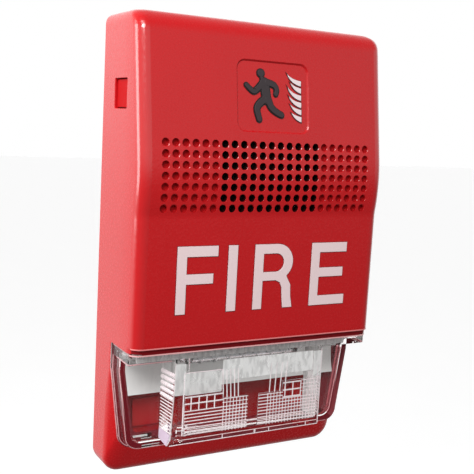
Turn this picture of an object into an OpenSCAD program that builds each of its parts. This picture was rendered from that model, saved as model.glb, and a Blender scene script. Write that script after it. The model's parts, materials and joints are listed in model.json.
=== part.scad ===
// Wall-mounted horn strobe: a red clip-on head over a wall plate.
// Origin: centre of the wall plate's back, on the wall. +X right, +Z up, the front faces -Y.
// "Depth" in the names below is the distance out from the wall, so depth = -Y.

/* [Body] */
// Width of the head
body_w = 70; // [68:0.5:74]
// Height of the head
body_h = 116; // [114:0.5:120]
// Wall thickness of the head's shell
wall = 1.8; // [1.4:0.1:2.2]
// Depth of the front at the grille's crest
crest_depth = 25.6; // [25:0.1:27]
// Radius of the long vertical edges
edge_r = 3; // [1:0.5:4]
// Radius of the two top corners, seen from the front
top_corner_r = 2.5; // [1:0.5:4]
// Radius of the two bottom corners, seen from the front
bottom_corner_r = 4.5; // [3:0.5:8]
// Backward tilt of the upper front face, degrees
upper_tilt = 8.3; // [6:0.1:10]

/* [Grille] */
// Distance between neighbouring holes
hole_pitch = 2.6; // [2.4:0.05:2.7]
// Diameter of a hole
hole_d = 1.8; // [1.2:0.1:2]
// Columns of open holes
open_cols = 11; // [3:2:11]
// Columns of blind holes on each side
blind_cols = 6; // [1:1:6]
// Rows of holes
hole_rows = 7; // [3:2:7]
// Height of the middle row above the origin
grille_z = 20.2; // [19:0.1:21]

/* [Strobe] */
// Height of the lip that ends the upper front face
lip_z = -21.2; // [-22:0.1:-20]
// Depth of the flat that carries the lens
lens_seat_depth = 11; // [10.5:0.1:11.5]
// Depth of the lens's flat windows
window_depth = 16; // [15:0.1:17]
// Depth of the prism block's front
prism_depth = 22.9; // [21:0.1:23.5]
// Distance from the middle to the prism block's left end
prism_half_w = 23.3; // [21:0.1:24]
// Distance from the middle to the prism block's right end
prism_right_w = 21.4; // [21:0.1:24]
// Thickness of the lens's walls
lens_wall = 1.4; // [1.2:0.1:1.8]

/* [Wall plate] */
// Thickness of the wall plate
plate_t = 2.4; // [2:0.1:2.6]
// Distance between the two electrical-box screws
box_screw_spacing = 83.3; // [83:0.1:84]
// Radius of the electrical-box screw holes
box_screw_r = 2.2; // [1.9:0.1:2.5]

/* [Electronics] */
// Depth of the circuit board's back
board_depth = 11; // [10.8:0.1:11.4]
// Thickness of the circuit board
board_t = 1.6; // [1.2:0.1:1.8]
// Radius of the sounder's cup
cup_r = 15.5; // [14:0.1:16]
// Radius of the flash capacitor
capacitor_r = 4.9; // [4:0.1:5]

/* [Moving parts] */
// Travel of the candela slider over its settings
candela_travel = 6; // [4:0.5:6]

/* [Hidden] */
$fn = 48;

half_w = body_w / 2;
half_h = body_h / 2;
// gap between the shell's back rim and the wall
rim_gap = 0.3;
// running gap between a moving piece and its neighbour
slip = 0.3;
// overshoot of a cutting shape
cut = 1;

// Front face: a crest arc, an upper plane tangent to it, and a hollow arc down to the flat
crest_r = 46;
crest_z = grille_z - 1;
crest_drop_angle = 9.6;
foot_r = 10;
top_r = 5.5;
flat_depth = crest_depth - (crest_r + foot_r) * (1 - cos(crest_drop_angle));
crest_centre_depth = crest_depth - crest_r;
foot_z = crest_z - (crest_r + foot_r) * sin(crest_drop_angle);
upper_end_z = crest_z + crest_r * sin(upper_tilt);
upper_end_depth = crest_centre_depth + crest_r * cos(upper_tilt);
top_centre_z = half_h - top_r;
top_centre_depth = upper_end_depth - top_r * cos(upper_tilt)
                   - (top_centre_z + top_r * sin(upper_tilt) - upper_end_z) * tan(upper_tilt);

// Lip: the front skin ends, then a small set-back band
lip_band_h = 1.2;
lip_band_set_back = 0.7;
lip_bottom_z = lip_z - lip_band_h;

// Lens outline, seen from the front
lens_top_z = lip_bottom_z - 0.1;
lens_taper_z = -29;
lens_bottom_z = -50.4;
lens_bottom_half_w = 32;
// how far the window stands inside the flange's edge
window_inset = 0.6;
lens_corner_r = 4;
lens_flange_t = 1.2;
top_bar_half_w = half_w - 0.2;
top_bar_depth = 22.2;
top_bar_bottom_z = -25.5;
prism_bottom_z = -47.2;
prism_rib_pitch = 1.25;

// Apron: the sloping faces between the lens seat and the back rim
apron_rim_depth = 7.8;
apron_side_depth = 8.6;
bay_floor_depth = 8.5;
bay_inset = 3.4;
bay_bottom_z = -46.9;
lower_cavity_depth = 6;
shelf_top_z = lip_bottom_z + wall;

// Side windows and release buttons
window_z = 38.6;
window_h = 7.1;
window_depth_near = 8;
window_depth_far = 15.9;
button_recess = 0.6;
button_gap = 0.3;
button_flange = 0.9;
button_flange_t = 0.5;

// Latch arms on the wall plate
arm_x = 30.9;
arm_t = 1.2;
arm_w = 6;
arm_pivot_depth = plate_t + slip;
arm_tip_depth = 12.4;
arm_pad_x = 32.1;
arm_pad_h = 2.4;

// Parts of the wall plate
plate_gap = 0.8;
wire_hole_w = 28;
wire_hole_h = 26;
block_w = 42;
block_h = 11;
block_z = 22.5;
block_depth = 9.8;
terminal_pitch = 10;
terminal_count = 4;
spring_z = 29.5;
pad_z = 33.5;

// Board and what it carries
board_w = 55;
board_bottom_z = -18;
board_top_z = 54;
board_front = board_depth + board_t;
board_screw_x = 24;
board_screw_z = [-13.5, 50];
sounder_z = grille_z;
cup_wall = 1.2;
sounder_disc_depth = board_front + 3.4;
sounder_ceramic_r = 9.5;
ceramic_t = 0.3;
mesh_t = 0.3;
cup_front_depth = 21.6;
mesh_depth = cup_front_depth;

// Reflector
reflector_half_w = half_w - bay_inset - 0.3;
reflector_back = 11.4;
reflector_r = 5.6;
reflector_steps = 6;
reflector_bottom_z = -36;
lip_floor_depth = reflector_back + reflector_r + 0.3;

// Flash tube
tube_z = -26.5;
tube_depth = 15.2;
tube_r = 2;
tube_half_len = 16.5;
lead_x = 19.2;
lead_r = 0.4;
lead_depth = 9.4;
lead_end_z = board_bottom_z + 1;

// Setting switches on the board's back
switch_z = -9;
candela_x0 = -18;
candela_w = 16;
slider_w = 2;
option_x0 = 6;
lever_travel = 2;
lever_w = 1.6;

// Icon recess on the upper front face
icon_x = 0.7;
icon_z = 39.8;
icon_w = 20;
icon_h = 17;
icon_corner_r = 2;
icon_recess = 0.4;
icon_t = 0.25;

// Lettering
letter_h = 16.5;
letter_top_z = 3.4;
letter_stroke = 2.55;
letter_t = 0.2;

// ---------- helpers ----------

// Extrudes a front view (x, z) outline from depth d0 out to depth d1
module front_slab(d0, d1) {
  translate([0, -d0, 0])
    rotate([90, 0, 0])
      linear_extrude(d1 - d0)
        children();
}

// Extrudes a side view (y, z) outline along X, centred on x = 0
module along_x(length) {
  translate([-length / 2, 0, 0])
    rotate([90, 0, 90])
      linear_extrude(length)
        children();
}

// A block given by its ranges of x, depth and z
module block(x0, x1, d0, d1, z0, z1) {
  translate([x0, -d1, z0])
    cube([x1 - x0, d1 - d0, z1 - z0]);
}

// A round post along Y from depth d0 to d1
module post(x, z, r, d0, d1) {
  translate([x, -d0, z])
    rotate([90, 0, 0])
      cylinder(h = d1 - d0, r = r);
}

// A round bar along X
module bar_x(x0, x1, depth, z, r) {
  translate([x0, -depth, z])
    rotate([0, 90, 0])
      cylinder(h = x1 - x0, r = r);
}

// Rounded rectangle with its own radii for the top and bottom corners
module front_outline(w, h, r_top, r_bottom) {
  for (side = [-1, 1]) {
    translate([side * (w / 2 - r_top), h / 2 - r_top]) circle(r_top);
    translate([side * (w / 2 - r_bottom), r_bottom - h / 2]) circle(r_bottom);
  }
  translate([-w / 2, r_bottom - h / 2]) square([w, h - r_top - r_bottom]);
  translate([r_top - w / 2, 0]) square([w - 2 * r_top, h / 2]);
  translate([r_bottom - w / 2, -h / 2]) square([w - 2 * r_bottom, h / 2]);
}

// Points of an arc in the side view. The angle is the outward normal's, above straight ahead
function side_arc(depth, z, r, a0, a1, n) =
  [for (i = [0 : n]) let (a = a0 + (a1 - a0) * i / n) [-depth - r * cos(a), z + r * sin(a)]];

// The front face's side view from the top edge down to the flat, moved in by inset
function front_curve(inset) = concat(
  side_arc(top_centre_depth, top_centre_z, top_r - inset, 90, upper_tilt, 8),
  side_arc(crest_centre_depth, crest_z, crest_r - inset, upper_tilt, -crest_drop_angle, 8),
  side_arc(flat_depth + foot_r, foot_z, -foot_r - inset, -crest_drop_angle, 0, 3));

// Everything on the far side of a plane through p whose normal is n
module beyond_plane(p, n) {
  size = 80;
  translate(p)
    rotate([0, acos(n[2] / norm(n)), atan2(n[1], n[0])])
      translate([-size / 2, -size / 2, 0])
        cube(size);
}

// Places children on the tilted upper face. Local x is right, y is up the face, z is outward
module on_upper_face(x, z, sink) {
  face_depth = upper_end_depth - (z - upper_end_z) * tan(upper_tilt);
  translate([x, -face_depth, z])
    rotate([90 - upper_tilt, 0, 0])
      translate([0, 0, -sink])
        children();
}

// Mirrors children to both sides
module both_sides() {
  for (side = [0, 1])
    mirror([side, 0, 0])
      children();
}

// Depth of the front face's arcs at height z, for the grille's holes
function front_depth(z) =
  z > upper_end_z ? upper_end_depth - (z - upper_end_z) * tan(upper_tilt)
  : z > foot_z + foot_r * sin(crest_drop_angle)
    ? crest_centre_depth + sqrt(pow(crest_r, 2) - pow(z - crest_z, 2))
    : flat_depth;

// ---------- head shell ----------

module lens_outline(inset) {
  half_top = half_w - inset;
  half_low = lens_bottom_half_w - inset;
  low_r = lens_corner_r - inset / 2;
  corner_x = half_low - low_r * 0.8;
  corner_z = lens_bottom_z + inset + low_r;
  polygon([[-half_top, lens_top_z], [half_top, lens_top_z], [half_top, lens_taper_z],
           [corner_x + low_r, corner_z], [corner_x, corner_z - low_r],
           [-corner_x, corner_z - low_r], [-corner_x - low_r, corner_z],
           [-half_top, lens_taper_z]]);
  for (side = [-1, 1])
    translate([side * corner_x, corner_z])
      circle(low_r);
}

module cover_side_view() {
  polygon(concat(
    [[-rim_gap, half_h]],
    front_curve(0),
    [[-flat_depth, lip_z],
     [lip_band_set_back - flat_depth, lip_z],
     [lip_band_set_back - flat_depth, lip_bottom_z],
     [-lens_seat_depth, lip_bottom_z],
     [-lens_seat_depth, lens_bottom_z],
     [-apron_rim_depth, -half_h],
     [-rim_gap, -half_h]]));
}

module cavity_side_view() {
  lip_inner = flat_depth - wall;
  polygon(concat(
    [[cut, half_h - wall]],
    front_curve(wall),
    [[-lip_inner, lip_bottom_z - cut],
     [-lens_seat_depth - wall, lip_bottom_z - cut],
     [-lens_seat_depth - wall, shelf_top_z],
     [cut, shelf_top_z]]));
}

module cover_solid() {
  long_h = 2 * body_h;
  intersection() {
    along_x(body_w) cover_side_view();
    front_slab(0, crest_depth + cut)
      front_outline(body_w, body_h, top_corner_r, bottom_corner_r);
    // rounds the long edges along the crest and the lower flat
    translate([0, 0, -body_h])
      linear_extrude(long_h)
        edge_rounding_view(crest_depth);
    // rounds the long edges along the tilted upper face
    translate([0, -upper_end_depth, upper_end_z])
      rotate([-upper_tilt, 0, 0])
        translate([0, 0, -body_h])
          linear_extrude(long_h)
            translate([0, crest_depth])
              edge_rounding_view(crest_depth);
  }
}

// Plan view of the body with its two front edges rounded
module edge_rounding_view(depth) {
  for (side = [-1, 1])
    translate([side * (half_w - edge_r), edge_r - depth])
      circle(edge_r);
  translate([-half_w, edge_r - depth]) square([body_w, 3 * crest_depth]);
  translate([edge_r - half_w, -depth]) square([body_w - 2 * edge_r, crest_depth]);
}

// The sloping side of the apron, right-hand one
module apron_side_cut() {
  taper_run = half_w - lens_bottom_half_w;
  taper_rise = lens_taper_z - lens_bottom_z - lens_corner_r;
  side_fall = lens_seat_depth - apron_side_depth;
  normal = [taper_rise * side_fall, -taper_run * taper_rise, -taper_run * side_fall];
  intersection() {
    beyond_plane([half_w, -lens_seat_depth, lens_taper_z], normal);
    block(0, body_w, -cut, crest_depth, -body_h, lens_taper_z);
  }
}

module grille_holes(columns, side_offset, hole_depth) {
  for (row = [0 : hole_rows - 1], col = [0 : columns - 1]) {
    z = grille_z + (row - (hole_rows - 1) / 2) * hole_pitch;
    x = side_offset + (col - (columns - 1) / 2) * hole_pitch;
    post(x, z, hole_d / 2, front_depth(z) - hole_depth, crest_depth + cut);
  }
}

module front_cover() {
  blind_offset = (open_cols + blind_cols) / 2 * hole_pitch;
  blind_depth = 1;
  boss_r = 3;
  pilot_r = 1.25;
  color("firebrick")
    difference() {
      union() {
        difference() {
          cover_solid();
          intersection() {
            along_x(body_w - 2 * wall) cavity_side_view();
            front_slab(-cut, crest_depth)
              front_outline(body_w - 2 * wall, body_h - 2 * wall, 1, 1);
          }
          both_sides() apron_side_cut();
          // room for the wall plate over the full height
          front_slab(-cut, plate_t + 1.8)
            front_outline(body_w - 2 * wall, body_h - 2 * wall, 1, bottom_corner_r - wall);
          // hollow behind the strobe's floor
          front_slab(-cut, lower_cavity_depth)
            intersection() {
              front_outline(body_w - 2 * wall, body_h - 2 * wall, 1, bottom_corner_r - wall);
              translate([-half_w, -half_h]) square([body_w, half_h + shelf_top_z - wall]);
            }
          // the strobe's bay
          front_slab(bay_floor_depth, lens_seat_depth + cut) lens_bay_outline();
        }
        // screw bosses for the circuit board
        for (z = board_screw_z, side = [-1, 1])
          post(side * board_screw_x, z, boss_r, board_front, front_depth(z) - wall / 2);
        // closed underside of the lip beside the prism block
        both_sides()
          block(prism_half_w + 0.4, half_w - wall / 2, lip_floor_depth, flat_depth - wall / 2,
                lip_bottom_z, lip_bottom_z + 1.4);
        // raised pads on the strobe's floor
        both_sides()
          block(20.4, 28, bay_floor_depth - 0.2, bay_floor_depth + 0.5, -45.9, -38.6);
      }
      grille_holes(open_cols, 0, 2 * wall);
      for (side = [-1, 1])
        grille_holes(blind_cols, side * blind_offset, blind_depth);
      // icon recess
      on_upper_face(icon_x, icon_z, icon_recess)
        linear_extrude(2) rounded_square(icon_w, icon_h, icon_corner_r);
      // side windows for the release buttons
      for (side = [-1, 1])
        translate([side * half_w, 0, 0])
          block(-2 * wall, 2 * wall, window_depth_near, window_depth_far,
                window_z - window_h / 2, window_z + window_h / 2);
      // screw pilots
      for (z = board_screw_z, side = [-1, 1])
        post(side * board_screw_x, z, pilot_r, board_front - cut, board_front + 7);
      // holes for the lens's snap legs, and slots for the flash tube's leads
      for (side = [-1, 1]) {
        translate([side * 24.6, 0, 0]) block(-1.5, 1.5, 0, lens_seat_depth + cut, -49.6, -47.4);
        translate([side * lead_x, 0, 0])
          block(-1.2, 1.2, bay_floor_depth, lens_seat_depth + cut, -24, shelf_top_z + cut);
      }
    }
}

module rounded_square(w, h, r) {
  for (sx = [-1, 1], sy = [-1, 1])
    translate([sx * (w / 2 - r), sy * (h / 2 - r)])
      circle(r);
  square([w, h - 2 * r], center = true);
  square([w - 2 * r, h], center = true);
}

module lens_bay_outline() {
  low_half_w = lens_bottom_half_w - bay_inset;
  polygon([[bay_inset - half_w, lip_bottom_z + 0.01], [half_w - bay_inset, lip_bottom_z + 0.01],
           [half_w - bay_inset, lens_taper_z], [low_half_w, bay_bottom_z],
           [-low_half_w, bay_bottom_z], [bay_inset - half_w, lens_taper_z]]);
}

// ---------- lettering and icon ----------

// One upright, and bars given as [width, distance of the bar's top below the letter's top]
module bar_letter(bars) {
  translate([0, -letter_h]) square([letter_stroke, letter_h]);
  for (bar = bars)
    translate([0, -bar[1] - letter_stroke])
      square([bar[0], letter_stroke]);
}

module letter_r() {
  bowl_h = 9.4;
  bowl_w = 11.4;
  leg_x = 8.8;
  bar_letter([]);
  difference() {
    r_bowl_solid(bowl_w, bowl_h);
    translate([letter_stroke, -letter_stroke])
      r_bowl_solid(bowl_w - 2 * letter_stroke, bowl_h - 2 * letter_stroke);
  }
  translate([leg_x, -letter_h]) square([letter_stroke, letter_h - bowl_h + 1.2]);
}

module r_bowl_solid(w, h) {
  translate([0, -h]) square([w - h / 2, h]);
  translate([w - h / 2, -h / 2]) circle(h / 2);
}

module fire_letters() {
  starts = [-24.4, -10.6, -3.1, 13.9];
  color("whitesmoke")
    translate([0, 0, letter_top_z])
      front_slab(flat_depth, flat_depth + letter_t) {
        translate([starts[0], 0]) bar_letter([[10.9, 0], [9.8, 6.7]]);
        translate([starts[1], 0]) bar_letter([]);
        translate([starts[2], 0]) letter_r();
        translate([starts[3], 0]) bar_letter([[11, 0], [10.1, 6.5], [11, 13.95]]);
      }
}

// A stroke with round ends between two points
module stroke(a, b, r) {
  run = b - a;
  translate(a) circle(r);
  translate(b) circle(r);
  translate(a)
    rotate(atan2(run[1], run[0]))
      translate([0, -r])
        square([norm(run), 2 * r]);
}

// A running figure: a round head over one outline of trunk, arms and legs
module icon_figure() {
  color("dimgray")
    on_upper_face(icon_x, icon_z, icon_recess)
      linear_extrude(icon_t) {
        translate([-3.6, 5.5]) circle(1.25);
        polygon([[-5.4, 3.9], [-1.4, 3.9], [1, 2.2], [0.6, 0], [-0.7, 0.2], [-0.6, 1.6],
                 [-1.3, 2.2], [-1.1, -1.4], [0.6, -3.2], [2.6, -4], [2.1, -5.4], [-0.4, -4.4],
                 [-2.4, -2.4], [-3.6, -3.4], [-3.5, -6.2], [-5.1, -6.2], [-5.5, -2.8], [-3.6, -0.6],
                 [-3.5, 2], [-4.7, 2.3], [-6.4, 0.5], [-8.3, 1.7], [-7.7, 2.8], [-6.5, 2.2]]);
      }
}

module icon_bars() {
  bar_count = 6;
  bar_pitch = 2.05;
  color("whitesmoke")
    on_upper_face(icon_x, icon_z, icon_recess)
      linear_extrude(icon_t)
        for (i = [0 : bar_count - 1])
          translate([5.7, 5.2 - i * bar_pitch])
            stroke([-1.6, 0.55], [1.6, -0.55], 0.55);
}

// ---------- lens and light ----------

module lens() {
  color("lightcyan", 0.4)
    difference() {
      union() {
        front_slab(lens_seat_depth, lens_seat_depth + lens_flange_t) lens_outline(0);
        front_slab(lens_seat_depth + lens_flange_t - 0.01, window_depth) lens_outline(window_inset);
        block(-prism_half_w, prism_right_w, window_depth - 0.01, prism_depth,
              prism_bottom_z, lens_top_z);
        block(-top_bar_half_w, top_bar_half_w, lens_seat_depth, top_bar_depth,
              top_bar_bottom_z, lens_top_z);
        lens_snap_legs();
      }
      // hollow behind the windows and the prism block
      front_slab(lens_seat_depth - cut, window_depth - lens_wall) lens_hollow_outline();
      block(lens_wall - prism_half_w, prism_right_w - lens_wall, window_depth - lens_wall - 0.01,
            prism_depth - lens_wall, prism_bottom_z + lens_wall, lens_top_z + cut);
      block(lens_wall - top_bar_half_w, top_bar_half_w - lens_wall, lens_seat_depth - cut,
            top_bar_depth - lens_wall, top_bar_bottom_z + lens_wall, lens_top_z + cut);
      prism_side_grooves();
      both_sides() prism_front_grooves();
    }
}

module lens_hollow_outline() {
  inset = window_inset + lens_wall;
  intersection() {
    lens_outline(inset);
    translate([-half_w, -half_h]) square([body_w, body_h]);
  }
  translate([inset - half_w, lens_top_z - 2]) square([body_w - 2 * inset, 3]);
}

module lens_snap_legs() {
  both_sides()
    block(23.4, 24.6, bay_floor_depth - 1.5, lens_seat_depth + 0.01, -49.2, -47.8);
}

// V grooves along Y on both ends of the prism block
module prism_side_grooves() {
  count = 18;
  for (i = [0 : count - 1], end_x = [-prism_half_w, prism_right_w])
    translate([end_x, -(window_depth + prism_depth) / 2, prism_bottom_z + (i + 1) * prism_rib_pitch])
      rotate([0, 45, 0])
        cube([0.5, prism_depth - window_depth - 1, 0.5], center = true);
}

// V grooves along X on the prism block's front panels
module prism_front_grooves() {
  count = 9;
  panel_x0 = 1.7;
  panel_x1 = 19.2;
  for (i = [0 : count - 1])
    translate([(panel_x0 + panel_x1) / 2, -prism_depth, prism_bottom_z + 2 + i * prism_rib_pitch])
      rotate([45, 0, 0])
        cube([panel_x1 - panel_x0, 0.5, 0.5], center = true);
}

// Side view of the reflector's trough, moved inward by t
function reflector_curve(t) = concat(
  [[-reflector_back - 1.2 - t, reflector_bottom_z], [-reflector_back - t, -30]],
  [for (i = [0 : reflector_steps])
    let (a = 90 * i / reflector_steps, r = reflector_r - t)
      [-reflector_back - reflector_r + r * cos(a), tube_z + r * sin(a)]]);

module reflector() {
  t = 1;
  foot_x = 15;
  lead_hole_r = 1;
  end_depth = window_depth - lens_wall - 0.4;
  inner = reflector_curve(t);
  color("white")
    difference() {
      union() {
        along_x(2 * reflector_half_w)
          polygon(concat(reflector_curve(0), [for (i = [len(inner) - 1 : -1 : 0]) inner[i]]));
        // feet on the floor behind
        for (side = [-1, 1])
          post(side * foot_x, -30, 1.2, bay_floor_depth, reflector_back + t / 2);
      }
      for (side = [-1, 1])
        post(side * lead_x, tube_z, lead_hole_r, lead_depth, end_depth);
    }
}

module flash_tube() {
  color("lightblue", 0.5)
    difference() {
      bar_x(-tube_half_len, tube_half_len, tube_depth, tube_z, tube_r);
      bar_x(1.5 - tube_half_len, tube_half_len - 1.5, tube_depth, tube_z, tube_r - 0.5);
    }
}

// A lead wire along a list of points. Each straight runs on by r so the bends close
module wire(points, r) {
  for (i = [0 : len(points) - 2]) {
    run = points[i + 1] - points[i];
    translate(points[i])
      rotate([0, acos(run[2] / norm(run)), atan2(run[1], run[0])])
        translate([0, 0, -r])
          cylinder(h = norm(run) + 2 * r, r = r);
  }
}

module tube_electrodes() {
  cap_len = 2;
  color("silver")
    both_sides() {
      bar_x(tube_half_len, tube_half_len + cap_len, tube_depth, tube_z, 1.1);
      wire([[tube_half_len + cap_len, -tube_depth, tube_z], [lead_x, -tube_depth, tube_z],
            [lead_x, -lead_depth, tube_z], [lead_x, -lead_depth, lead_end_z],
            [lead_x, lead_r - board_depth, lead_end_z]], lead_r);
    }
}

module trigger_wire() {
  turn_count = 7;
  turn_pitch = 4.2;
  half_span = turn_pitch * (turn_count - 1) / 2;
  wire_r = 0.15;
  color("goldenrod") {
    for (i = [0 : turn_count - 1])
      translate([i * turn_pitch - half_span, -tube_depth, tube_z])
        rotate([0, 90, 0])
          rotate_extrude()
            translate([tube_r + wire_r + 0.05, 0])
              circle(wire_r, $fn = 14);
    bar_x(-half_span, half_span, tube_depth - tube_r - 2 * wire_r - 0.05, tube_z, wire_r);
  }
}

// ---------- circuit board ----------

module circuit_board() {
  screw_hole_r = 1.5;
  color("seagreen")
    difference() {
      block(-board_w / 2, board_w / 2, board_depth, board_front, board_bottom_z, board_top_z);
      for (z = board_screw_z, side = [-1, 1])
        post(side * board_screw_x, z, screw_hole_r, board_depth - cut, board_front + cut);
    }
}

module board_screws() {
  head_r = 2.4;
  head_t = 1.5;
  shank_r = 1.15;
  shank_len = 7;
  color("lightgray")
    for (z = board_screw_z, side = [-1, 1])
      difference() {
        union() {
          post(side * board_screw_x, z, head_r, board_depth - head_t, board_depth);
          post(side * board_screw_x, z, shank_r, board_depth - 0.1, board_depth + shank_len);
        }
        cross_recess(side * board_screw_x, z, board_depth - head_t, 2.6);
      }
}

// Cross-shaped driver recess cut into a screw head whose top is at depth d, facing the wall
module cross_recess(x, z, d, size) {
  slot_w = 0.6;
  slot_t = 0.8;
  block(x - size / 2, x + size / 2, d - cut, d + slot_t, z - slot_w / 2, z + slot_w / 2);
  block(x - slot_w / 2, x + slot_w / 2, d - cut, d + slot_t, z - size / 2, z + size / 2);
}

module flash_capacitor() {
  x0 = -19;
  x1 = 7;
  z = -7;
  depth = board_front + capacitor_r + 0.2;
  color("midnightblue")
    difference() {
      union() {
        bar_x(x0, x1, depth, z, capacitor_r);
        // leads bent down to the board
        for (side = [-1, 1])
          wire([[x1, -depth, z + side * 2], [x1 + 1.6, -depth, z + side * 2],
                [x1 + 1.6, -board_front - lead_r, z + side * 2]], lead_r);
      }
      // crimp groove near the lead end
      translate([x1 - 2.5, -depth, z])
        rotate([0, 90, 0])
          rotate_extrude()
            translate([capacitor_r + 0.25, 0])
              circle(0.55);
    }
}

module trigger_transformer() {
  color("goldenrod") {
    block(11, 20, board_front, board_front + 1.2, -11, -3);
    block(12, 19, board_front + 1.2, board_front + 6.5, -10, -4);
    block(11, 20, board_front + 6.5, board_front + 7.7, -11, -3);
  }
}

// A drum core with a winding groove, standing on the board
module power_inductor() {
  x = -20;
  z = 43;
  core_r = 4.5;
  groove_r = 3.6;
  drum_h = 6.5;
  flange_t = 1.1;
  color("black") {
    post(x, z, core_r, board_front, board_front + flange_t);
    post(x, z, groove_r, board_front + flange_t - 0.01, board_front + drum_h - flange_t + 0.01);
    post(x, z, core_r, board_front + drum_h - flange_t, board_front + drum_h);
  }
}

// A small package: body on the board, with a row of legs on each long side
module chip(x, z, w, h, t, legs) {
  leg_w = 0.5;
  block(x - w / 2, x + w / 2, board_front + 0.15, board_front + t, z - h / 2, z + h / 2);
  for (i = [0 : legs - 1], side = [-1, 1])
    translate([x + (i - (legs - 1) / 2) * w / legs, 0, z + side * (h / 2 + 0.4)])
      block(-leg_w / 2, leg_w / 2, board_front, board_front + t / 2, -0.5, 0.5);
}

module controller_chips() {
  color("darkslategray") {
    chip(-6, 46, 8, 5, 1.6, 6);
    chip(6, 46, 6, 4, 1.5, 4);
  }
}

module power_transistors() {
  color("darkslategray")
    for (x = [15, 23.5])
      union() {
        block(x - 3.2, x + 3.2, board_front, board_front + 2.3, 38, 43.5);
        block(x - 2.6, x + 2.6, board_front, board_front + 0.6, 43.4, 45.2);
        for (side = [-1, 1])
          block(x + side * 2 - 0.4, x + side * 2 + 0.4, board_front, board_front + 0.8, 36.6, 38.1);
      }
}

module rectifier_diodes() {
  color("black")
    for (i = [0 : 3])
      block(17, 21.4, board_front, board_front + 2.2, 4 + 4.4 * i, 6.7 + 4.4 * i);
}

module chip_resistors() {
  color("lightgray")
    for (i = [0 : 5], x = [-24, 25])
      block(x - 1, x + 1, board_front, board_front + 0.6, 2 + 4.6 * i, 3.2 + 4.6 * i);
}

// ---------- sounder ----------

module sounder_cup() {
  rim_t = 1.2;
  port_r = 4;
  color("black")
    difference() {
      post(0, sounder_z, cup_r, board_front, cup_front_depth);
      post(0, sounder_z, cup_r - cup_wall, board_front + rim_t, cup_front_depth - rim_t);
      post(0, sounder_z, port_r, cup_front_depth - rim_t - cut, cup_front_depth + cut);
      // notch for the two leads
      block(-2, 2, board_front - cut, board_front + 3, sounder_z - cup_r - cut,
            sounder_z - cup_r + 2 * cup_wall);
    }
}

module sounder_disc() {
  disc_t = 0.4;
  color("goldenrod")
    post(0, sounder_z, cup_r - cup_wall - 0.05, sounder_disc_depth, sounder_disc_depth + disc_t);
}

module sounder_ceramic() {
  color("gainsboro")
    post(0, sounder_z, sounder_ceramic_r, sounder_disc_depth - ceramic_t, sounder_disc_depth);
}

// Two leads out of the cup's notch, from the board up to the disc and the ceramic
module sounder_leads() {
  r = 0.3;
  foot_z = sounder_z - cup_r - 1;
  run_depth = board_front + 1.6;
  disc_end_z = sounder_z - cup_r + 4.5;
  ceramic_end_z = sounder_z - sounder_ceramic_r + 1.2;
  color("crimson") {
    wire([[-1, -board_front - r, foot_z], [-1, -run_depth, foot_z],
          [-1, -run_depth, disc_end_z], [-1, r - sounder_disc_depth, disc_end_z]], r);
    wire([[1, -board_front - r, foot_z], [1, -run_depth, foot_z],
          [1, -run_depth, ceramic_end_z],
          [1, r + ceramic_t - sounder_disc_depth, ceramic_end_z]], r);
  }
}

module grille_mesh() {
  color("black")
    block(-15.2, 15.2, mesh_depth, mesh_depth + mesh_t, sounder_z - 9.5, sounder_z + 9.5);
}

// ---------- switches and contacts on the board's back ----------

module contact_pads() {
  color("gold")
    for (i = [0 : terminal_count - 1])
      translate([(i - (terminal_count - 1) / 2) * terminal_pitch, 0, pad_z])
        block(-2, 2, board_depth - 0.2, board_depth, -2.5, 2.5);
}

module candela_switch() {
  slot_len = slider_w + candela_travel + 2 * slip;
  slot_x0 = candela_x0 + (candela_w - slot_len) / 2;
  color("dimgray")
    difference() {
      block(candela_x0, candela_x0 + candela_w, board_depth - 3.6, board_depth,
            switch_z - 3.5, switch_z + 3.5);
      block(slot_x0, slot_x0 + slot_len, board_depth - 3.6 - cut, board_depth - 1.4,
            switch_z - 1.3, switch_z + 1.3);
    }
}

// Slider with a wider finger tab outside the switch's slot
module candela_slider() {
  x0 = candela_x0 + (candela_w - slider_w - candela_travel) / 2;
  color("white")
    union() {
      block(x0, x0 + slider_w, board_depth - 5.2, board_depth - 1.8,
            switch_z - 1, switch_z + 1);
      block(x0 - 0.3, x0 + slider_w + 0.3, board_depth - 5.2, board_depth - 3.9,
            switch_z - 1.8, switch_z + 1.8);
    }
}

module option_switch() {
  color("royalblue")
    difference() {
      block(option_x0, option_x0 + 8, board_depth - 3.4, board_depth, switch_z - 3.6, switch_z + 3.6);
      for (side = [-1, 1])
        translate([option_x0 + 1.8, 0, switch_z + side * 1.7])
          block(0, lever_w + lever_travel + 0.6, board_depth - 3.4 - cut, board_depth - 1.4,
                -0.9, 0.9);
    }
}

module option_lever(side) {
  color("white")
    translate([option_x0 + 2.1, 0, switch_z + side * 1.7])
      block(0, lever_w, board_depth - 4.4, board_depth - 1.7, -0.6, 0.6);
}

module volume_lever() {
  option_lever(1);
}

module tone_lever() {
  option_lever(-1);
}

// ---------- wall plate ----------

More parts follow.
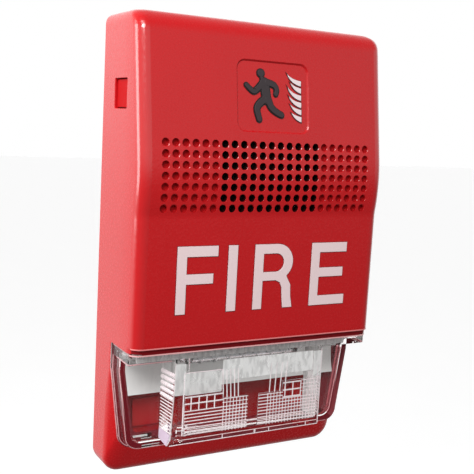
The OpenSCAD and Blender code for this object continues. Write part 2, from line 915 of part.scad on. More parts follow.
module mounting_plate() {
  screw_z = box_screw_spacing / 2;
  rib_t = 1.2;
  color("gray")
    difference() {
      union() {
        front_slab(0, plate_t)
          front_outline(body_w - 2 * (wall + plate_gap), body_h - 2 * (wall + plate_gap),
                        1.5, bottom_corner_r - wall);
        // stiffening rim round the wire entry
        block(-wire_hole_w / 2 - rib_t, wire_hole_w / 2 + rib_t, plate_t - 0.01, plate_t + 1.6,
              -wire_hole_h / 2 - rib_t, wire_hole_h / 2 + rib_t);
        // pads round the box screws
        for (side = [-1, 1])
          post(0, side * screw_z, 5.5, plate_t - 0.01, plate_t + 0.8);
      }
      block(-wire_hole_w / 2, wire_hole_w / 2, -cut, plate_t + 3,
            -wire_hole_h / 2, wire_hole_h / 2);
      for (side = [-1, 1])
        post(0, side * screw_z, box_screw_r, -cut, plate_t + 3);
      // relief under each latch arm
      both_sides()
        block(arm_x - 2, arm_x + 0.9, plate_t - 0.6, plate_t + cut,
              window_z - arm_w / 2 - slip, window_z + arm_w / 2 + slip);
    }
}

module terminal_block() {
  bay = 7.6;
  color("dimgray")
    difference() {
      block(-block_w / 2, block_w / 2, plate_t, block_depth, block_z - block_h / 2,
            block_z + block_h / 2);
      for (i = [0 : terminal_count - 1])
        translate([(i - (terminal_count - 1) / 2) * terminal_pitch, 0, 0]) {
          // screw well, open to the front and to the wires below
          block(-bay / 2, bay / 2, plate_t + 2.6, block_depth + cut, block_z - block_h / 2 - cut,
                block_z + block_h / 2 - 1.5);
          post(0, block_z - 0.5, 1.7, plate_t + 0.8, block_depth + cut);
        }
    }
}

module terminal_clamps() {
  color("goldenrod")
    for (i = [0 : terminal_count - 1])
      translate([(i - (terminal_count - 1) / 2) * terminal_pitch, 0, block_z - 0.5])
        difference() {
          block(-3.4, 3.4, plate_t + 2.6, plate_t + 3.6, -3.6, 3.6);
          post(0, 0, 1.7, plate_t + 2, plate_t + 5);
        }
}

module terminal_screws() {
  head_base = plate_t + 3.6;
  head_t = 2;
  color("silver")
    for (i = [0 : terminal_count - 1])
      translate([(i - (terminal_count - 1) / 2) * terminal_pitch, 0, block_z - 0.5])
        difference() {
          union() {
            post(0, 0, 3, head_base, head_base + head_t);
            post(0, 0, 1.5, plate_t + 1, head_base + 0.1);
          }
          block(-3.2, 3.2, head_base + head_t - 0.9, head_base + head_t + cut, -0.4, 0.4);
        }
}

// Leaf springs that rise from the block to the pads on the board
module contact_springs() {
  leaf_w = 2.6;
  leaf_t = 0.35;
  tip_depth = board_depth - 0.5;
  base_z = block_z + block_h / 2;
  color("goldenrod")
    for (i = [0 : terminal_count - 1])
      translate([(i - (terminal_count - 1) / 2) * terminal_pitch, 0, 0])
        along_x(leaf_w)
          polygon([[-plate_t - 1, base_z], [-plate_t - 1, spring_z + 6], [-plate_t - 2, spring_z + 7],
                   [-tip_depth, pad_z + 0.5], [-tip_depth, pad_z - 0.5], [-tip_depth + 1.5, pad_z - 1.6],
                   [-tip_depth + 1.5, pad_z - 1.6 + leaf_t], [leaf_t - tip_depth, pad_z - 0.3],
                   [leaf_t - tip_depth, pad_z + 0.3],
                   [-plate_t - 2 + leaf_t, spring_z + 6.6], [-plate_t - 1 - leaf_t, spring_z + 5.8],
                   [-plate_t - 1 - leaf_t, base_z]]);
}

// One snap arm, the right-hand one
module latch_arm() {
  color("gray")
    union() {
      block(arm_x - arm_t / 2, arm_x + arm_t / 2, arm_pivot_depth, arm_tip_depth,
            window_z - arm_w / 2, window_z + arm_w / 2);
      // rounded root that the arm turns about
      translate([arm_x, -arm_pivot_depth, window_z - arm_w / 2])
        cylinder(h = arm_w, r = arm_t / 2);
      // pad that the release button presses
      block(arm_x, arm_pad_x, arm_tip_depth - arm_pad_h, arm_tip_depth,
            window_z - arm_w / 2, window_z + arm_w / 2);
    }
}

module latch_arm_right() {
  latch_arm();
}

module latch_arm_left() {
  mirror([1, 0, 0]) latch_arm();
}

// Release button in the side window, the right-hand one
module release_button() {
  outer_x = half_w - button_recess;
  inner_x = half_w - wall - slip;
  color("red")
    union() {
      block(inner_x - 0.01, outer_x, window_depth_near + button_gap, window_depth_far - button_gap,
            window_z - window_h / 2 + button_gap, window_z + window_h / 2 - button_gap);
      block(inner_x - button_flange_t, inner_x, window_depth_near - button_flange,
            window_depth_far + button_flange, window_z - window_h / 2 - button_flange,
            window_z + window_h / 2 + button_flange);
    }
}

module release_button_right() {
  release_button();
}

module release_button_left() {
  mirror([1, 0, 0]) release_button();
}

mounting_plate();
terminal_block();
terminal_clamps();
terminal_screws();
contact_springs();
latch_arm_left();
latch_arm_right();
front_cover();
fire_letters();
icon_figure();
icon_bars();
lens();
reflector();
flash_tube();
tube_electrodes();
trigger_wire();
circuit_board();
flash_capacitor();
trigger_transformer();
power_inductor();
controller_chips();
power_transistors();
rectifier_diodes();
chip_resistors();
sounder_cup();
sounder_disc();
sounder_ceramic();
sounder_leads();
grille_mesh();
board_screws();
contact_pads();
candela_switch();
candela_slider();
option_switch();
volume_lever();
tone_lever();
release_button_left();
release_button_right();
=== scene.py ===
import json
import math

import bmesh
import bpy
from mathutils import Matrix, Vector

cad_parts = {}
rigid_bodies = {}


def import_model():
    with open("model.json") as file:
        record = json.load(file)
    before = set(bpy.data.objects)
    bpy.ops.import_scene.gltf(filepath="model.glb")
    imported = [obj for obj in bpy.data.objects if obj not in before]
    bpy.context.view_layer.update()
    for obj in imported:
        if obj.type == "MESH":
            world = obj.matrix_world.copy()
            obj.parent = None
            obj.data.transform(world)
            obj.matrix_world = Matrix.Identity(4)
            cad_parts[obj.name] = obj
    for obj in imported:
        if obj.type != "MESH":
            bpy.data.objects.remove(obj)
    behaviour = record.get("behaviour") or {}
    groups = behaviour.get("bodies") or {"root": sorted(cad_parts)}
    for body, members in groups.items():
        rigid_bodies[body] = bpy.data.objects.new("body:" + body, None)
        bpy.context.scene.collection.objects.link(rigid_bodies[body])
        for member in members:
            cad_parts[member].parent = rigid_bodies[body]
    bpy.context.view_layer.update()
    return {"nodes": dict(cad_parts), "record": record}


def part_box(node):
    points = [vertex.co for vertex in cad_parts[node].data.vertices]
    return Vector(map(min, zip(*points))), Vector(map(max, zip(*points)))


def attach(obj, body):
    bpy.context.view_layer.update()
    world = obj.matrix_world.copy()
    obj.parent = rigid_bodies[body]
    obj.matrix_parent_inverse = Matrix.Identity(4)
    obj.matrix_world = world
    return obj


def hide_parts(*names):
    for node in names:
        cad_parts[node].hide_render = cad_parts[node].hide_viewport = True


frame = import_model()
NODES = frame["nodes"]
MM = 0.001

# ---- sizes, in millimetres
# Names ending in _D are depths, measured out from the wall, so depth = -y.


def mm_box(node):
    low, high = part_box(node)
    return [v / MM for v in low], [v / MM for v in high]


COVER_LOW, COVER_HIGH = mm_box("front_cover")
HALF_W = COVER_HIGH[0]
TOP_Z = COVER_HIGH[2]
BOTTOM_Z = COVER_LOW[2]
CREST_D = -COVER_LOW[1]
RIM_D = 0.3
WALL = 1.8
EDGE_R = 3.0
TOP_CORNER_R = 2.5
BOTTOM_CORNER_R = 4.5
TILT = math.radians(8.3)

GRILLE_Z = 20.2
PITCH = 2.6
HOLE_R = 0.9
OPEN_COLS = 11
BLIND_COLS = 6
ROWS = 7

CREST_R = 46.0
CREST_Z = GRILLE_Z - 1
CREST_DROP = math.radians(9.6)
FOOT_R = 10.0
TOP_R = 5.5
FLAT_D = CREST_D - (CREST_R + FOOT_R) * (1 - math.cos(CREST_DROP))
CREST_CENTRE_D = CREST_D - CREST_R
FOOT_Z = CREST_Z - (CREST_R + FOOT_R) * math.sin(CREST_DROP)
UPPER_Z = CREST_Z + CREST_R * math.sin(TILT)
UPPER_D = CREST_CENTRE_D + CREST_R * math.cos(TILT)
TOP_CENTRE_Z = TOP_Z - TOP_R
TOP_CENTRE_D = (UPPER_D - TOP_R * math.cos(TILT)
                - (TOP_CENTRE_Z + TOP_R * math.sin(TILT) - UPPER_Z) * math.tan(TILT))

LENS_LOW, LENS_HIGH = mm_box("lens")
LIP_BAND_H = 1.2
LIP_BAND_STEP = 0.7
SKIRT_T = 0.4
SKIRT_H = 0.5
LENS_TOP_Z = LENS_HIGH[2]
LIP_BOTTOM_Z = LENS_TOP_Z + 0.1
LIP_Z = LIP_BOTTOM_Z + LIP_BAND_H
SHELF_TOP_Z = LIP_BOTTOM_Z + WALL
SEAT_D = 11.0
WINDOW_D = 16.0
PRISM_D = -LENS_LOW[1]
PRISM_HALF_W = 23.3
PRISM_RIGHT_W = 21.4
PRISM_BOTTOM_Z = -47.2
LENS_TAPER_Z = -29.0
LENS_BOTTOM_Z = LENS_LOW[2]
LENS_LOW_HALF_W = 32.0
LENS_CORNER_R = 4.0
FLANGE_T = 1.2
WINDOW_INSET = 0.6
TOP_BAR_HALF_W = HALF_W - 0.2
TOP_BAR_D = 22.2
TOP_BAR_BOTTOM_Z = -25.5
LENS_WALL = 1.3
BAY_FLOOR_D = 8.5
# the holes for the lens's snap legs, then the pads beside them
LEG_HOLE_X0 = 23.1
LEG_HOLE_X1 = 26.1
LEG_HOLE_Z0 = -49.6
LEG_HOLE_Z1 = -47.5
PAD_X = 24.2
PAD_Z = -42.3
PAD_W = 7.6
PAD_H = 7.4

WINDOW_Z = 38.6
WINDOW_H = 7.1
WINDOW_NEAR_D = 8.0
WINDOW_FAR_D = 15.9

ICON_X = 0.7
ICON_Z = 39.8
ICON_W = 20.0
ICON_H = 17.0
ICON_RECESS = 0.4

LETTER_TOP_Z = 3.4
LETTER_H = 16.5
STROKE = 2.55

# ---- camera

CAMERA_PLACE = (-107.36, -200.13, 33.67)
CAMERA_YAW = math.radians(-29.416)
CAMERA_PITCH = math.radians(-7.989)
CAMERA_ROLL = math.radians(-3.114)


def make_camera():
    """A camera on the left, where the photographer stood."""
    turn = (Matrix.Rotation(CAMERA_YAW, 3, "Z") @ Matrix.Rotation(CAMERA_PITCH, 3, "X")
            @ Matrix.Rotation(CAMERA_ROLL, 3, "Y"))
    right, forward, up = turn.col
    data = bpy.data.cameras.new("camera")
    data.lens = 63.0
    data.sensor_width = 36.0
    data.clip_start = 0.005
    camera = bpy.data.objects.new("camera", data)
    axes = Matrix((right, up, -forward)).transposed()
    camera.matrix_world = Matrix.Translation(Vector(CAMERA_PLACE) * MM) @ axes.to_4x4()
    bpy.context.scene.collection.objects.link(camera)
    bpy.context.scene.camera = camera


make_camera()

# ---- materials


def new_material(name):
    material = bpy.data.materials.new(name)
    material.use_nodes = True
    tree = material.node_tree
    return material, tree, tree.nodes["Principled BSDF"]


def wire(tree, node, values=None, links=None):
    """Sets some of a node's inputs to plain values, and joins others to nodes' outputs."""
    for socket, value in (values or {}).items():
        node.inputs[socket].default_value = value
    for socket, output in (links or {}).items():
        tree.links.new(output, node.inputs[socket])
    return node


def new_node(tree, kind, values=None, links=None):
    return wire(tree, tree.nodes.new("ShaderNode" + kind), values, links)


def noise(tree, grain_mm, detail=2.0, stretch=None):
    """Noise whose features are about grain_mm across, in the object's own space."""
    coords = new_node(tree, "TexCoord").outputs["Object"]
    if stretch:
        coords = new_node(tree, "Mapping", {"Scale": stretch}, {"Vector": coords}).outputs["Vector"]
    node = new_node(tree, "TexNoise", {"Scale": 1 / (grain_mm * MM), "Detail": detail},
                    {"Vector": coords})
    return node.outputs["Fac"]


def spread(tree, value, low, high, start=0.3, end=0.7):
    """Maps a value from start..end to low..high."""
    limits = {"From Min": start, "From Max": end, "To Min": low, "To Max": high}
    return new_node(tree, "MapRange", limits, {"Value": value}).outputs["Result"]


def math_node(tree, operation, first, second):
    node = new_node(tree, "Math", links={0: first, 1: second})
    node.operation = operation
    return node.outputs["Value"]


def colour_mix(tree, value, first, second):
    node = new_node(tree, "Mix")
    node.data_type = "RGBA"
    wire(tree, node, {"A": (*first, 1), "B": (*second, 1)}, {"Factor": value})
    return node.outputs["Result"]


def add_bump(tree, shader, value, distance_mm, strength=1.0):
    node = new_node(tree, "Bump", {"Distance": distance_mm * MM, "Strength": strength},
                    {"Height": value})
    wire(tree, shader, links={"Normal": node.outputs["Normal"]})


def scaled(colour, factor):
    return [min(1.0, c * factor) for c in colour]


def moulded(name, colour, roughness=0.45, grain=0.35, bump=0.012, vary=0.06, specular=0.5,
            detail=3.0):
    """Moulded plastic: a fine spark-eroded grain, with the colour and the gloss a little uneven."""
    material, tree, shader = new_material(name)
    fine = noise(tree, grain, detail)
    broad = noise(tree, 14.0)
    wire(tree, shader, {"Specular IOR Level": specular},
         {"Base Color": colour_mix(tree, broad, scaled(colour, 1 - vary), scaled(colour, 1 + vary)),
          "Roughness": spread(tree, fine, roughness - 0.06, roughness + 0.06)})
    # the noise's rare peaks are levelled off, or they show as specks
    add_bump(tree, shader, spread(tree, fine, 0.0, 0.3, 0.35, 0.65), bump)
    return material


def metal(name, colour, roughness=0.3, stretch=(1, 1, 12)):
    """Drawn or stamped metal with fine lines along one way."""
    material, tree, shader = new_material(name)
    lines = noise(tree, 0.6, 4.0, stretch)
    wire(tree, shader, {"Metallic": 1.0},
         {"Base Color": colour_mix(tree, lines, scaled(colour, 0.85), colour),
          "Roughness": spread(tree, lines, roughness - 0.08, roughness + 0.08)})
    add_bump(tree, shader, lines, 0.01, 0.5)
    return material


def clear(name, colour, roughness=0.02, ior=1.49, ripple=0.01, clarity=1.0, streaks=0.02):
    """Clear moulded plastic or glass with a faint flow ripple and upright streaks of tint."""
    material, tree, shader = new_material(name)
    upright = spread(tree, noise(tree, 0.9, 3.0, (1, 1, 0.3)), 0.0, 1.0, 0.4, 0.55)
    wavy = noise(tree, 3.0)
    wire(tree, shader, {"Transmission Weight": clarity, "IOR": ior},
         {"Base Color": colour_mix(tree, upright, scaled(colour, 1 - streaks), colour),
          "Roughness": spread(tree, wavy, roughness * 0.6, roughness * 1.6)})
    if ripple:
        add_bump(tree, shader, wavy, ripple, 0.6)
    return material


def woven(name, colour):
    """Fine acoustic mesh: two crossed waves."""
    material, tree, shader = new_material(name)
    coords = new_node(tree, "TexCoord").outputs["Object"]
    waves = []
    for direction in ("X", "Z"):
        wave = new_node(tree, "TexWave", {"Scale": 700}, {"Vector": coords})
        wave.bands_direction = direction
        waves.append(wave.outputs["Fac"])
    threads = math_node(tree, "MULTIPLY", *waves)
    wire(tree, shader, {"Roughness": 0.8},
         {"Base Color": colour_mix(tree, threads, scaled(colour, 0.3), colour)})
    add_bump(tree, shader, threads, 0.05)
    return material


RED = (0.60, 0.009, 0.012)
# each look's maker, and the values that it takes in order
LOOKS = {
    "red_shell": (moulded, RED, 0.25, 0.6, 0.035, 0.04, 0.5, 1.0),
    "red_edge": (moulded, RED, 0.15, 0.6, 0.01, 0.04, 1.0, 1.0),
    "red_button": (moulded, (0.52, 0.004, 0.006), 0.6, 0.5, 0.012, 0.05, 0.05),
    "letter_white": (moulded, (0.97, 0.76, 0.77), 0.5, 0.5, 0.004, 0.03),
    # painted shadow: the dark rim round the letters
    "letter_edge": (moulded, (0.17, 0.012, 0.016), 0.5, 0.5, 0.004),
    "figure_edge": (moulded, (0.008, 0.007, 0.008), 0.5, 0.4),
    "flame_edge": (moulded, (0.05, 0.01, 0.012), 0.5, 0.5),
    "figure_grey": (moulded, (0.040, 0.028, 0.032), 0.5, 0.4, 0.01, 0.25),
    "flame_white": (moulded, (0.93, 0.78, 0.80), 0.5, 0.5, 0.004, 0.05),
    "lens_clear": (clear, (0.98, 0.97, 0.97), 0.02, 1.3),
    "reflector_metal": (moulded, (0.90, 0.89, 0.87), 0.22, 1.5, 0.01, 0.04, 0.8),
    # painted reflection: the ribs are a pale, half clear white for the bright lines that their grooves
    # reflect
    "lens_rib": (clear, (0.96, 0.86, 0.88), 0.3, 1.49, 0.0, 0.35),
    # frosted, and also the painted glints at the lens's foot
    "lens_frost": (clear, (0.97, 0.97, 0.96), 0.3, 1.3, 0.0, 0.4, 0.2),
    "lens_haze": (clear, (1.0, 1.0, 0.99), 0.2, 1.15, 0.0, 0.3, 0.22),
    # painted highlight: pale pink for the lens's edges
    "lens_edge": (clear, (0.85, 0.50, 0.52), 0.3, 1.4, 0.0, 0.4),
    "lens_side": (clear, (0.55, 0.14, 0.16), 0.1, 1.3, 0.0, 0.65),
    "lens_foot": (clear, (0.72, 0.60, 0.72), 0.35, 1.3, 0.0, 0.3),
    # painted shade: darker reds for the bay, its side walls and the lip's band, where little light gets
    # in
    "bay_red": (moulded, (0.34, 0.006, 0.008), 0.5, 0.5, 0.02, 0.1, 0.05),
    "bay_deep": (moulded, (0.26, 0.006, 0.010), 0.5, 0.5, 0.02, 0.1, 0.1),
    "lip_dark": (moulded, (0.24, 0.008, 0.012), 0.5, 0.5, 0.02, 0.1, 0.1),
    # painted highlights: pale pinks for the lip's two beads, where their edges catch the light
    "lip_bead": (moulded, (0.86, 0.26, 0.26), 0.35, 0.5, 0.01, 0.05),
    "lip_bead_pale": (moulded, (0.90, 0.50, 0.50), 0.35, 0.5, 0.01, 0.05),
    # painted shade: darker reds for the bay's pads, the lens's seat and the blind holes, near black in
    # the open holes
    "pad_red": (moulded, (0.46, 0.010, 0.012), 0.5, 0.5, 0.02, 0.1, 0.1),
    "seat_red": (moulded, (0.20, 0.010, 0.018), 0.5, 0.5, 0.02, 0.1, 0.1),
    "blind_red": (moulded, (0.40, 0.006, 0.008), 0.5, 0.5, 0.02, 0.1, 0.1),
    "dark_hollow": (moulded, (0.02, 0.002, 0.002), 0.6, 0.5, 0.01, 0.1, 0.1),
    "tube_glass": (clear, (0.97, 0.98, 1.0), 0.02, 1.47),
    "plate_plastic": (moulded, (0.42, 0.42, 0.41), 0.5, 0.4),
    "terminal_plastic": (moulded, (0.02, 0.02, 0.022), 0.45, 0.3),
    "terminal_brass": (metal, (0.72, 0.52, 0.22), 0.3),
    "screw_steel": (metal, (0.62, 0.62, 0.64), 0.28),
    "contact_brass": (metal, (0.78, 0.58, 0.26), 0.25),
    "electrode_metal": (metal, (0.66, 0.66, 0.68), 0.25),
    "trigger_metal": (metal, (0.62, 0.62, 0.62), 0.3),
    "board_green": (moulded, (0.012, 0.10, 0.032), 0.3, 1.2, 0.01, 0.3),
    "capacitor_sleeve": (moulded, (0.012, 0.016, 0.06), 0.25, 2.0),
    "transformer_tape": (moulded, (0.62, 0.36, 0.03), 0.3, 0.8, 0.03),
    "ferrite_black": (moulded, (0.03, 0.03, 0.03), 0.55, 0.3, 0.03),
    "chip_black": (moulded, (0.018, 0.018, 0.018), 0.5, 0.2, 0.02),
    "diode_black": (moulded, (0.02, 0.02, 0.02), 0.45, 0.2, 0.02),
    "resistor_white": (moulded, (0.5, 0.5, 0.48), 0.4, 0.3, 0.01),
    "sounder_plastic": (moulded, (0.012, 0.012, 0.012), 0.5, 0.3),
    "sounder_brass": (metal, (0.75, 0.56, 0.24), 0.3, (1, 12, 1)),
    "sounder_ceramic_white": (moulded, (0.62, 0.6, 0.55), 0.4, 0.6, 0.01),
    "lead_red": (moulded, (0.35, 0.01, 0.01), 0.4, 0.4),
    "mesh_black": (woven, (0.02, 0.02, 0.02)),
    "pad_gold": (metal, (0.8, 0.6, 0.25), 0.2),
    "switch_black": (moulded, (0.02, 0.02, 0.02), 0.45, 0.3),
    "switch_blue": (moulded, (0.012, 0.05, 0.24), 0.4, 0.3),
    "lever_white": (moulded, (0.7, 0.7, 0.68), 0.4, 0.3),
}
MATERIALS = {name: maker(name, *values) for name, (maker, *values) in LOOKS.items()}

# ---- mesh helpers


def to_object(name, points, faces):
    """A mesh object from points in millimetres, not yet in the scene."""
    mesh = bpy.data.meshes.new(name)
    mesh.from_pydata([[c * MM for c in p] for p in points], [], faces)
    mesh.validate()
    return bpy.data.objects.new(name, mesh)


def at(x, depth, z):
    return (x, -depth, z)


def arc(c0, c1, r, a0, a1, steps):
    """Points of an arc from angle a0 to a1, in degrees."""
    return [(c0 + r * math.cos(math.radians(a0 + (a1 - a0) * i / steps)),
             c1 + r * math.sin(math.radians(a0 + (a1 - a0) * i / steps)))
            for i in range(steps + 1)]


def loft(rings):
    """Skins and closes a list of rings that all have the same number of points."""
    count = len(rings[0])
    points = [p for ring in rings for p in ring]
    faces = []
    for k in range(len(rings) - 1):
        for i in range(count):
            j = (i + 1) % count
            faces.append((k * count + i, k * count + j, (k + 1) * count + j, (k + 1) * count + i))
    faces.append(tuple(reversed(range(count))))
    faces.append(tuple(range((len(rings) - 1) * count, len(rings) * count)))
    return points, faces


def merge(parts):
    """Joins (points, faces) pairs into one."""
    points, faces = [], []
    for part_points, part_faces in parts:
        base = len(points)
        points += part_points
        faces += [tuple(i + base for i in f) for f in part_faces]
    return points, faces


def outward(obj):
    """Turns every face of a closed mesh outward."""
    work = bmesh.new()
    work.from_mesh(obj.data)
    bmesh.ops.recalc_face_normals(work, faces=work.faces)
    work.to_mesh(obj.data)
    work.free()
    return obj


def in_metres(transform):
    """The same turn and move, for a transform whose move is in millimetres."""
    result = transform.copy()
    result.translation = result.translation * MM
    return result


def solid(name, part, transform=None):
    """A closed solid from a (points, faces) pair."""
    obj = to_object(name, *part)
    if transform is not None:
        obj.data.transform(in_metres(transform))
    return outward(obj)


def combine(target, other, operation):
    """Boolean of two closed solids. Both inputs go, and the result keeps the target's name."""
    scene = bpy.context.scene.collection.objects
    for o in (target, other):
        if o.name not in scene:
            scene.link(o)
    modifier = target.modifiers.new("cut", "BOOLEAN")
    modifier.operation = operation
    modifier.solver = "MANIFOLD"
    modifier.object = other
    bpy.context.view_layer.update()
    graph = bpy.context.evaluated_depsgraph_get()
    result = bpy.data.meshes.new_from_object(target.evaluated_get(graph))
    target.modifiers.clear()
    target.data = result
    bpy.data.objects.remove(other)
    return target


def cut(target, *others):
    for other in others:
        combine(target, other, "DIFFERENCE")
    return target


def add(target, *others):
    for other in others:
        combine(target, other, "UNION")
    return target


def place(obj, slot, body, sharp=32, replaces=(), look=None):
    """Puts a finished piece in the scene, on its body. Its look is its slot's unless look is given."""
    if obj.name not in bpy.context.scene.collection.objects:
        bpy.context.scene.collection.objects.link(obj)
    mesh = obj.data
    for polygon in mesh.polygons:
        polygon.use_smooth = True
    mesh.set_sharp_from_angle(angle=math.radians(sharp))
    mesh.materials.clear()
    mesh.materials.append(MATERIALS[look or slot])
    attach(obj, body)
    if replaces:
        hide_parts(*replaces)
    return obj


def block(x0, x1, d0, d1, z0, z1, r=0.0, steps=3):
    """A box given by its ranges, with its edges along the depth rounded by r."""
    ring = rounded_rectangle((x0 + x1) / 2, (z0 + z1) / 2, x1 - x0, z1 - z0, r, steps)
    return loft([[at(x, d, z) for x, z in ring] for d in (d0, d1)])


def rounded_rectangle(cx, cz, w, h, r, steps=4):
    r = max(r, 0.001)
    ring = []
    for k, (sx, sz) in enumerate(((1, 1), (-1, 1), (-1, -1), (1, -1))):
        ring += arc(cx + sx * (w / 2 - r), cz + sz * (h / 2 - r), r, 90 * k, 90 * (k + 1), steps)
    return ring


def lathe_y(x, z, profile, segments=20):
    """A solid turned about an axis along Y. profile lists (depth, radius)."""
    return loft([[at(px, depth, pz) for px, pz in arc(x, z, radius, 0, 360, segments)[:-1]]
                 for depth, radius in profile])


def curve_points(a, b, c, steps=8):
    """Points of a quadratic curve from a to c, drawn toward b."""
    return [tuple((1 - t) ** 2 * p + 2 * t * (1 - t) * q + t * t * r for p, q, r in zip(a, b, c))
            for t in [i / steps for i in range(steps + 1)]]


# ---- the head's shell

# heights of the mesh's extra rows on the flat lower front and on the tilted upper front
FLAT_ROWS = (-12, -2, 6)
SLOPE_ROWS = (38, 44, 49)
APRON_LOW_D = 8.1
APRON_RISE = 2.6
APRON_RISE_Z = -30
APRON_FADE = 11
APRON_SIDE_R = 1.1
APRON_FACE_R = 2.6
APRON_OVERLAP = 0.3
PLATE_ROOM_D = 4.2
LOWER_ROOM_D = 6.0
BACK_MOUTH_D = 17.3
BAY_MARGIN = 3.4
BAY_BOTTOM_Z = -46.9
LEAD_X = 19.2
LEAD_SLOT_HALF = 1.2
LEAD_SLOT_Z = -24
BLIND_HOLE_DEPTH = 1.0
BOSS_X = 24
BOSS_HEIGHTS = (-13.5, 50)
BOSS_FOOT_D = 12.6
BOSS_R = 3.0


def front_depth(z):
    """Depth of the front face at height z."""
    if z > TOP_CENTRE_Z + TOP_R * math.sin(TILT):
        return TOP_CENTRE_D + math.sqrt(max(0.0, TOP_R ** 2 - (z - TOP_CENTRE_Z) ** 2))
    if z > UPPER_Z:
        return UPPER_D - (z - UPPER_Z) * math.tan(TILT)
    if z > FOOT_Z + FOOT_R * math.sin(CREST_DROP):
        return CREST_CENTRE_D + math.sqrt(CREST_R ** 2 - (z - CREST_Z) ** 2)
    if z > FOOT_Z:
        return FLAT_D + FOOT_R - math.sqrt(FOOT_R ** 2 - (z - FOOT_Z) ** 2)
    return FLAT_D


def front_levels():
    """(z, depth) up the front face from the lip to the top edge."""
    band_d = FLAT_D - LIP_BAND_STEP
    round_r = 0.22
    levels = [(LIP_BOTTOM_Z, band_d - 0.12), (LIP_BOTTOM_Z + 0.12, band_d),
              (LIP_Z - 0.05, band_d), (LIP_Z, band_d + 0.05), (LIP_Z, FLAT_D - round_r)]
    levels += arc(LIP_Z + round_r, FLAT_D - round_r, round_r, 180, 90, 3)[1:]
    foot_top = FOOT_Z + FOOT_R * math.sin(CREST_DROP)
    heights = [LIP_Z + 1, *FLAT_ROWS, FOOT_Z]
    heights += [FOOT_Z + (foot_top - FOOT_Z) * i / 5 for i in range(1, 6)]
    heights += [foot_top + (UPPER_Z - foot_top) * i / 18 for i in range(1, 19)]
    levels += [(z, front_depth(z)) for z in heights]
    line_end = TOP_CENTRE_Z + TOP_R * math.sin(TILT)
    levels += [(z, front_depth(z)) for z in (UPPER_Z + 6, *SLOPE_ROWS, line_end - 0.4)]
    return levels + arc(TOP_CENTRE_Z, TOP_CENTRE_D, TOP_R, 90 - math.degrees(TILT), 0, 18)


def half_width(z):
    """Half the shell's width at height z, which falls only in the two top corners."""
    rise = z - (TOP_Z - TOP_CORNER_R)
    if rise <= 0:
        return HALF_W
    return HALF_W - TOP_CORNER_R + math.sqrt(max(0.0, TOP_CORNER_R ** 2 - rise ** 2))


def plan_ring(z, depth, half_w, r, rim, columns=16, steps=10):
    """The shell's outline at one height: side walls, rounded front edges and the front."""
    left = [(-half_w, -rim)]
    left += [(-half_w, -(rim + (depth - r - rim) * t)) for t in (0.35, 0.7)]
    left += arc(-half_w + r, r - depth, r, 180, 270, steps)
    span = half_w - r
    front = [(-span + 2 * span * i / columns, -depth) for i in range(1, columns)]
    right = [(-x, y) for x, y in reversed(left)]
    return [(x, y, z) for x, y in left + front + right]


def upper_solid():
    """The shell above the lip, still solid, from one outline for each height."""
    rings = [plan_ring(z, d, half_width(z), EDGE_R, RIM_D) for z, d in front_levels()]
    return solid("front_cover_detailed", loft(rings))


def apron_border_depth(z):
    """Depth of the side walls' front edge beside and below the lens."""
    drop = max(0.0, APRON_RISE_Z - z)
    return APRON_LOW_D + APRON_RISE * math.exp(-drop / APRON_FADE)


def apron_contours():
    """Matching points of the apron's outer border and of the lens's outline, left to right."""
    pairs = []
    side_end = BOTTOM_Z + BOTTOM_CORNER_R
    corner_x = LENS_LOW_HALF_W - LENS_CORNER_R * 0.8
    corner_z = LENS_BOTTOM_Z + LENS_CORNER_R
    steps = 20
    for i in range(steps + 1):
        t = i / steps
        z_out = LIP_BOTTOM_Z + (side_end - LIP_BOTTOM_Z) * t
        if z_out > LENS_TAPER_Z:
            pairs.append(((-HALF_W, z_out), (-HALF_W + APRON_OVERLAP, z_out)))
            continue
        u = (LENS_TAPER_Z - z_out) / (LENS_TAPER_Z - side_end)
        x_in = HALF_W - APRON_OVERLAP + (corner_x + LENS_CORNER_R - HALF_W + APRON_OVERLAP) * u
        pairs.append(((-HALF_W, z_out), (-x_in, LENS_TAPER_Z + (corner_z - LENS_TAPER_Z) * u)))
    turns = 12
    outer = arc(-(HALF_W - BOTTOM_CORNER_R), side_end, BOTTOM_CORNER_R, 180, 270, turns)
    inner = arc(-corner_x, corner_z, LENS_CORNER_R, 180, 270, turns)
    pairs += list(zip(outer[1:], inner[1:]))
    run = HALF_W - BOTTOM_CORNER_R
    for i in range(1, 12):
        t = i / 12
        pairs.append(((-run + 2 * run * t, BOTTOM_Z), (-corner_x + 2 * corner_x * t, LENS_BOTTOM_Z)))
    mirrored = [((-a[0], a[1]), (-b[0], b[1])) for a, b in reversed(pairs[:steps + 1 + turns])]
    return pairs + mirrored


def apron_solid():
    """The head's lower end, sloping from the side walls up to the lens's seat."""
    pairs = apron_contours()
    side = HALF_W - 0.08
    low, top = LIP_BOTTOM_Z, LIP_BOTTOM_Z + 1.3
    for x, z in ((side, low), (side, top), (-side, top), (-side, low)):
        pairs.append(((x, z), (x - math.copysign(APRON_OVERLAP, x), z)))
    steps = 8
    rings = [[] for _ in range(steps + 4)]
    for (xo, zo), (xi, zi) in pairs:
        border = apron_border_depth(zo)
        run = math.dist((xo, zo, border), (xi, zi, SEAT_D))
        share = min(0.6, APRON_FACE_R / run)
        start = (xo, border - min(APRON_SIDE_R, 1.5 * run), zo)
        bend = (xo, border, zo)
        end = (xo + (xi - xo) * share, border + (SEAT_D - border) * share, zo + (zi - zo) * share)
        rings[0].append(at(xo, RIM_D, zo))
        for k, p in enumerate(curve_points(start, bend, end, steps)):
            rings[1 + k].append(at(*p))
        middle = [(a + b) / 2 for a, b in zip(end, (xi, SEAT_D, zi))]
        rings[steps + 2].append(at(*middle))
        rings[steps + 3].append(at(xi, SEAT_D, zi))
    return solid("apron", loft(rings))


